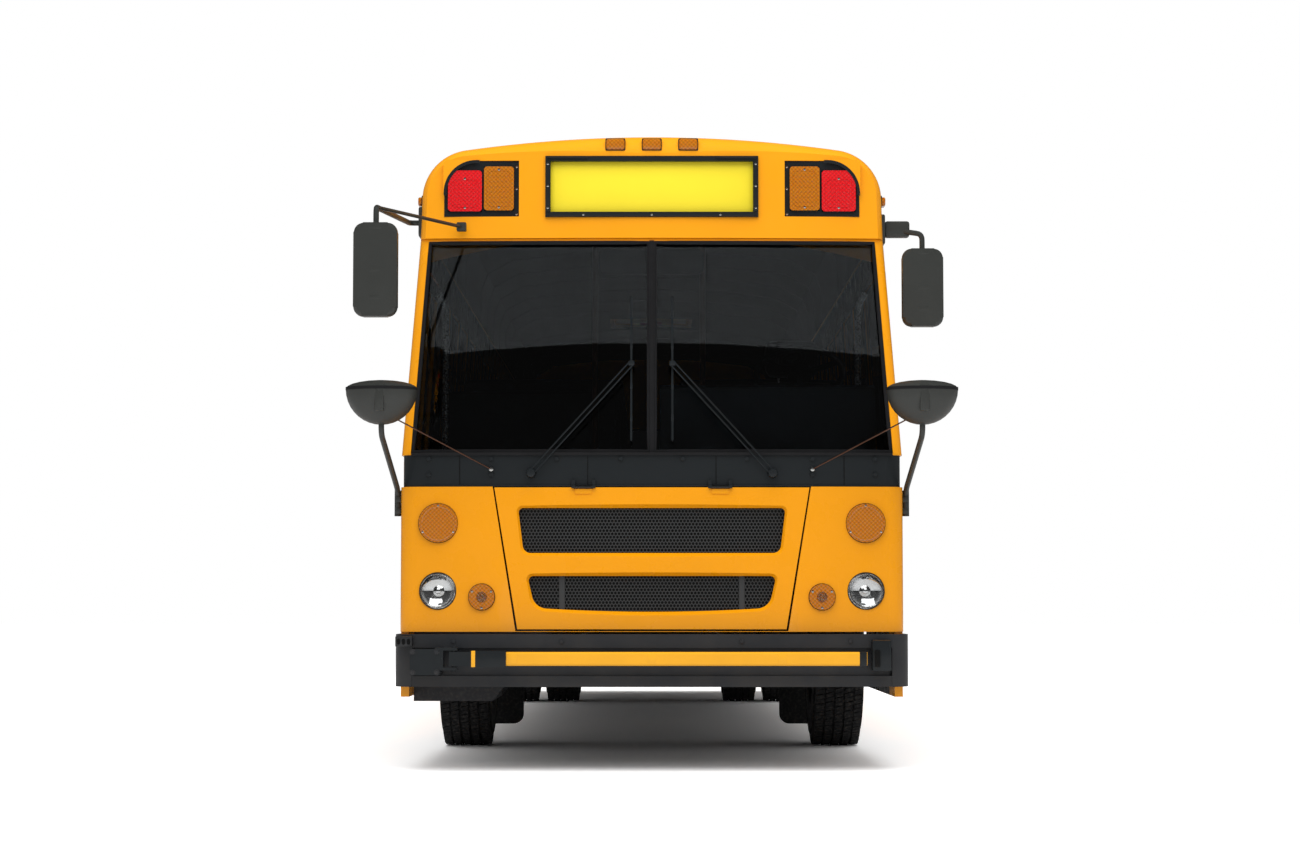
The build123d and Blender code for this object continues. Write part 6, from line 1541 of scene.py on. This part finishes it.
def roof_details():
    """Rivet rows over the roof bows, drip rails, and the hatches' gaskets and vents."""
    places = []
    for y in POSTS:
        for k in range(-9, 10):
            x = k * 0.100
            if max(min(abs(y - hatch) for hatch in ROOF_HATCHES), abs(x)) < HATCH_HALF + 0.030:
                continue
            places.append(((x, y, roof_line(x) + 0.0003), (0.14 * x, 0, 1)))
    fasten("roof_rivets", rivet, places, cap_paint, "bus")
    shape = Shape()
    for side in SIDES:
        path = [(side * 1.1535, y, 2.600) for y in (-4.880, 0.0, 6.180)]
        section = DRIP_RAIL if side > 0 else [(-u, v) for u, v in DRIP_RAIL[:1] + DRIP_RAIL[:0:-1]]
        shape.sweep(path, section, body_paint, up=(side, 0, 0), smooth=False)
        for y in (-4.900, 6.230):
            arc = [(1.149, 2.700), (1.149, 2.830), (1.097, 2.972), (0.932, 3.068), (0.466, 3.1155),
                   (0.0, 3.1322)]
            shape.sweep([(side * x, y, z) for x, z in arc], CAP_SEAL, seal_rubber, smooth=False)
    shape.piece("roof_trim", "bus", "body_yellow")
    for word, y in zip(("front", "rear"), ROOF_HATCHES):
        lid = Shape()
        path = [(u, y + v, 3.1335) for u, v in round_rect(0.320, 0.320, 0.03)]
        lid.sweep(path, [(-0.006, -0.001), (0.006, -0.001), (0.006, 0.006), (-0.006, 0.006)], seal_rubber,
                  closed=True)
        lid.box((-0.09, y + 0.20, 3.082), (0.09, y + 0.23, 3.104), sign_paint, 0.006)
        lid.piece(f"roof_hatch_trim_{word}", f"roof_hatch_{word}", "rubber")


BLADE_HALF = 0.229


def back_details():
    """Rear window rubber, hatch latches, reflectors, bare plate bracket, stop blade's rim and lamps."""
    shape = Shape()
    path = [(u, TAIL, 2.090 + v) for u, v in round_rect(0.700, 0.340, 0.06, 5)]
    shape.sweep(path, [(-0.012, -0.024), (0.016, -0.024), (0.016, 0.002), (0.010, 0.007), (-0.006, 0.007),
                       (-0.012, 0.002)],
                seal_rubber, up=(0, 1, 0), closed=True)
    for side in SIDES:
        shape.lathe([(0, 0), (0, 0.038), (0.005, 0.038), (0.009, 0.030), (0.009, 0)], "Y",
                    (side * 0.880, TAIL, 1.560), red_lens, 28)
        for y in (-4.100, 0.900, 5.950):
            place = on_side(side, y, 1.185)
            profile = [(0, 0), (0, 0.034), (side * 0.004, 0.034), (side * 0.008, 0.026), (side * 0.008, 0)]
            shape.lathe(profile, "X", place, amber_lens if y < 5 else red_lens, 28)
    for x in (-0.90, -0.45, 0.0, 0.45, 0.90):
        shape.lathe([(0, 0), (0, 0.020), (0.010, 0.018), (0.013, 0)], "Y", (x, TAIL, 2.590), red_lens, 20)
    shape.lathe([(0, 0.043), (0, 0.053), (0.012, 0.053), (0.012, 0.043)], "Y",
                (-0.900, TAIL + 0.030, 0.345), exhaust_metal, 28)
    shape.piece("back_trim", "bus", "rubber")
    latch = Shape()
    for side in SIDES:
        latch.box((side * 0.62 - 0.040, TAIL - 0.001, 0.675), (side * 0.62 + 0.040, TAIL + 0.008, 0.725),
                  trim_paint, 0.003)
        latch.tube([(side * 0.62 - 0.025, TAIL + 0.006, 0.700), (side * 0.62 - 0.025, TAIL + 0.024, 0.700),
                    (side * 0.62 + 0.025, TAIL + 0.024, 0.700), (side * 0.62 + 0.025, TAIL + 0.006,
                                                                 0.700)], 0.006, bright_metal,
                   0.012)
    latch.box((-0.160, TAIL - 0.001, 1.195), (0.160, TAIL + 0.004, 1.345), trim_paint, 0.0015)
    for i in range(6):
        z = 0.640 + 0.120 + i * 0.062
        latch.prism([(TAIL - 0.002, z - 0.014), (TAIL + 0.012, z - 0.030), (TAIL + 0.014, z - 0.028),
                     (TAIL + 0.001, z - 0.010)],
                    "X", -0.520, 0.520, body_paint)
    latch.piece("engine_hatch_trim", "engine_hatch", "trim_black")
    blade = Shape()
    x, y, z = HALF + 0.034, FACE_Y + 1.520 + 0.030 + BLADE_HALF, 1.180
    radius = BLADE_HALF / math.cos(math.radians(22.5)) - 0.013
    turns = [math.radians(22.5 + 45 * k) for k in range(8)]
    for face in SIDES:
        path = [(x + face * 0.0032, y + radius * math.cos(a), z + radius * math.sin(a)) for a in turns]
        blade.sweep(path, [(-0.008, -0.001), (0.008, -0.001), (0.008, 0.001), (-0.008, 0.001)], gauge_white,
                    up=(face, 0, 0),
                    closed=True, smooth=False)
        for dz in (-0.150, 0.150):
            profile = [(0, 0), (0, 0.040), (face * 0.010, 0.038), (face * 0.016, 0.020), (face * 0.017, 0)]
            blade.lathe(profile, "X", (x + face * 0.003, y, z + dz), red_lens, 28)
    blade.piece("stop_blade_trim", "stop_arm", "sign_red")


def underside():
    """U-bolts on the springs, tank straps, spring hangers' bolts and flap clamps."""
    shape = Shape()
    for side in SIDES:
        x = side * 0.430
        for y in (FRONT_AXLE, REAR_AXLE):
            for dy in (-0.075, 0.075):
                for dx in (-0.048, 0.048):
                    shape.tube([(x + dx, y + dy, 0.46), (x + dx, y + dy, 0.66)], 0.009, spring_metal)
        for y in (FACE_Y + 3.75, FACE_Y + 4.35):
            shape.lathe([(-0.02, 0.1185), (-0.02, 0.1205), (0.02, 0.1205), (0.02, 0.1185)], "Y",
                        (side * 0.390, y, 0.5217),
                        bright_metal, 40)
        for y, low, high in ((FRONT_AXLE + 0.660, 0.760, 1.160), (REAR_AXLE + 0.660, 0.590, 1.160)):
            a, b = sorted((side * (low + 0.02), side * (high - 0.02)))
            shape.box((a, y - 0.004, 0.900), (b, y, 0.940), frame_paint, 0.001)
    for y in (FACE_Y + 5.05, FACE_Y + 5.65):
        path = [(u, y, 0.5348 + v) for u, v in round_rect(0.4115, 0.1063, 0.061, 6)]
        shape.sweep(path, [(-0.020, -0.001), (0.020, -0.001), (0.020, 0.0015), (-0.020, 0.0015)],
                    bright_metal, up=(0, 0, 1),
                    closed=True)
    shape.piece("underside_fittings", "bus", "frame_black")


# Camera, light and floor
CAMERA_BACK = 12.9
CAMERA_HEIGHT = 0.795
CAMERA_SIDE = -0.009
CAMERA_TILT = 3.74
CAMERA_LENS = 74.1
# The world's strength: on the bus, and as each kind of ray meets it
WORLD_LEVEL = 0.77
RAY_LEVELS = {"Is Glossy Ray": 0.06, "Is Transmission Ray": 0.02, "Is Camera Ray": 1.0}
FLOOR_REACH = 90
# The floor's colour as it lights the bus, and as the camera sees it
FLOOR_GREY = 0.75
FLOOR_SEEN = 1.35


def camera():
    data = bpy.data.cameras.new("camera")
    data.lens = CAMERA_LENS
    data.sensor_width = 36
    data.clip_end = 200
    camera_object = bpy.data.objects.new("camera", data)
    bpy.context.scene.collection.objects.link(camera_object)
    camera_object.location = (CAMERA_SIDE, FACE_Y - CAMERA_BACK, CAMERA_HEIGHT)
    camera_object.rotation_euler = (math.radians(90 + CAMERA_TILT), 0, 0)
    bpy.context.scene.camera = camera_object


def softbox(name, place, aim, size, power):
    data = bpy.data.lights.new(name, "AREA")
    data.shape = "RECTANGLE"
    data.size, data.size_y = size
    data.energy = power
    lamp = bpy.data.objects.new(name, data)
    bpy.context.scene.collection.objects.link(lamp)
    lamp.location = place
    lamp.visible_glossy = False
    lamp.rotation_euler = (Vector(aim) - Vector(place)).to_track_quat("-Z", "Y").to_euler()


def studio():
    """White surroundings for the camera; reflections and views through glass meet near-black ones."""
    world = bpy.data.worlds.new("studio")
    bpy.context.scene.world = world
    world.use_nodes = True
    tree = world.node_tree
    path = tree.nodes.new("ShaderNodeLightPath")
    level = None
    for ray, value in RAY_LEVELS.items():
        mix = tree.nodes.new("ShaderNodeMix")
        tree.links.new(path.outputs[ray], mix.inputs[0])
        mix.inputs[2].default_value = WORLD_LEVEL
        if level:
            tree.links.new(level, mix.inputs[2])
        mix.inputs[3].default_value = value
        level = mix.outputs[0]
    background = tree.nodes["Background"]
    background.inputs["Color"].default_value = (1, 1, 1, 1)
    tree.links.new(level, background.inputs["Strength"])

    softbox("overhead", (0, -9, 9), (0, -4, 1.5), (9, 9), 700)
    softbox("rear overhead", (0, 8, 9), (0, 4, 1.5), (9, 9), 500)

    floor_mesh = bpy.data.meshes.new("floor")
    corners = [(-FLOOR_REACH, -FLOOR_REACH, 0), (FLOOR_REACH, -FLOOR_REACH, 0),
               (FLOOR_REACH, FLOOR_REACH, 0),
               (-FLOOR_REACH, FLOOR_REACH, 0)]
    floor_mesh.from_pydata(corners, [], [(0, 1, 2, 3)])
    floor = bpy.data.objects.new("studio_floor", floor_mesh)
    bpy.context.scene.collection.objects.link(floor)
    finish = Finish("studio floor", (0.8, 0.8, 0.8), 0.9, **{"Specular IOR Level": 0.0})
    seen = finish.add("ShaderNodeLightPath").outputs["Is Camera Ray"]
    finish.colour(finish.blend(seen, (FLOOR_GREY,) * 3, (FLOOR_SEEN,) * 3))
    floor_mesh.materials.append(finish.material)


camera()
studio()
grille_sheets()
front_lamps()
sign_board()
marker_lamps()
glazing()
wiper_set()
cowl_details()
mirrors()
front_extras()
wheels()
benches()
driver_seat()
cabin()
side_windows()
door_trim()
side_rivets()
roof_details()
back_details()
underside()
bpy.context.scene.view_settings.view_transform = "Standard"
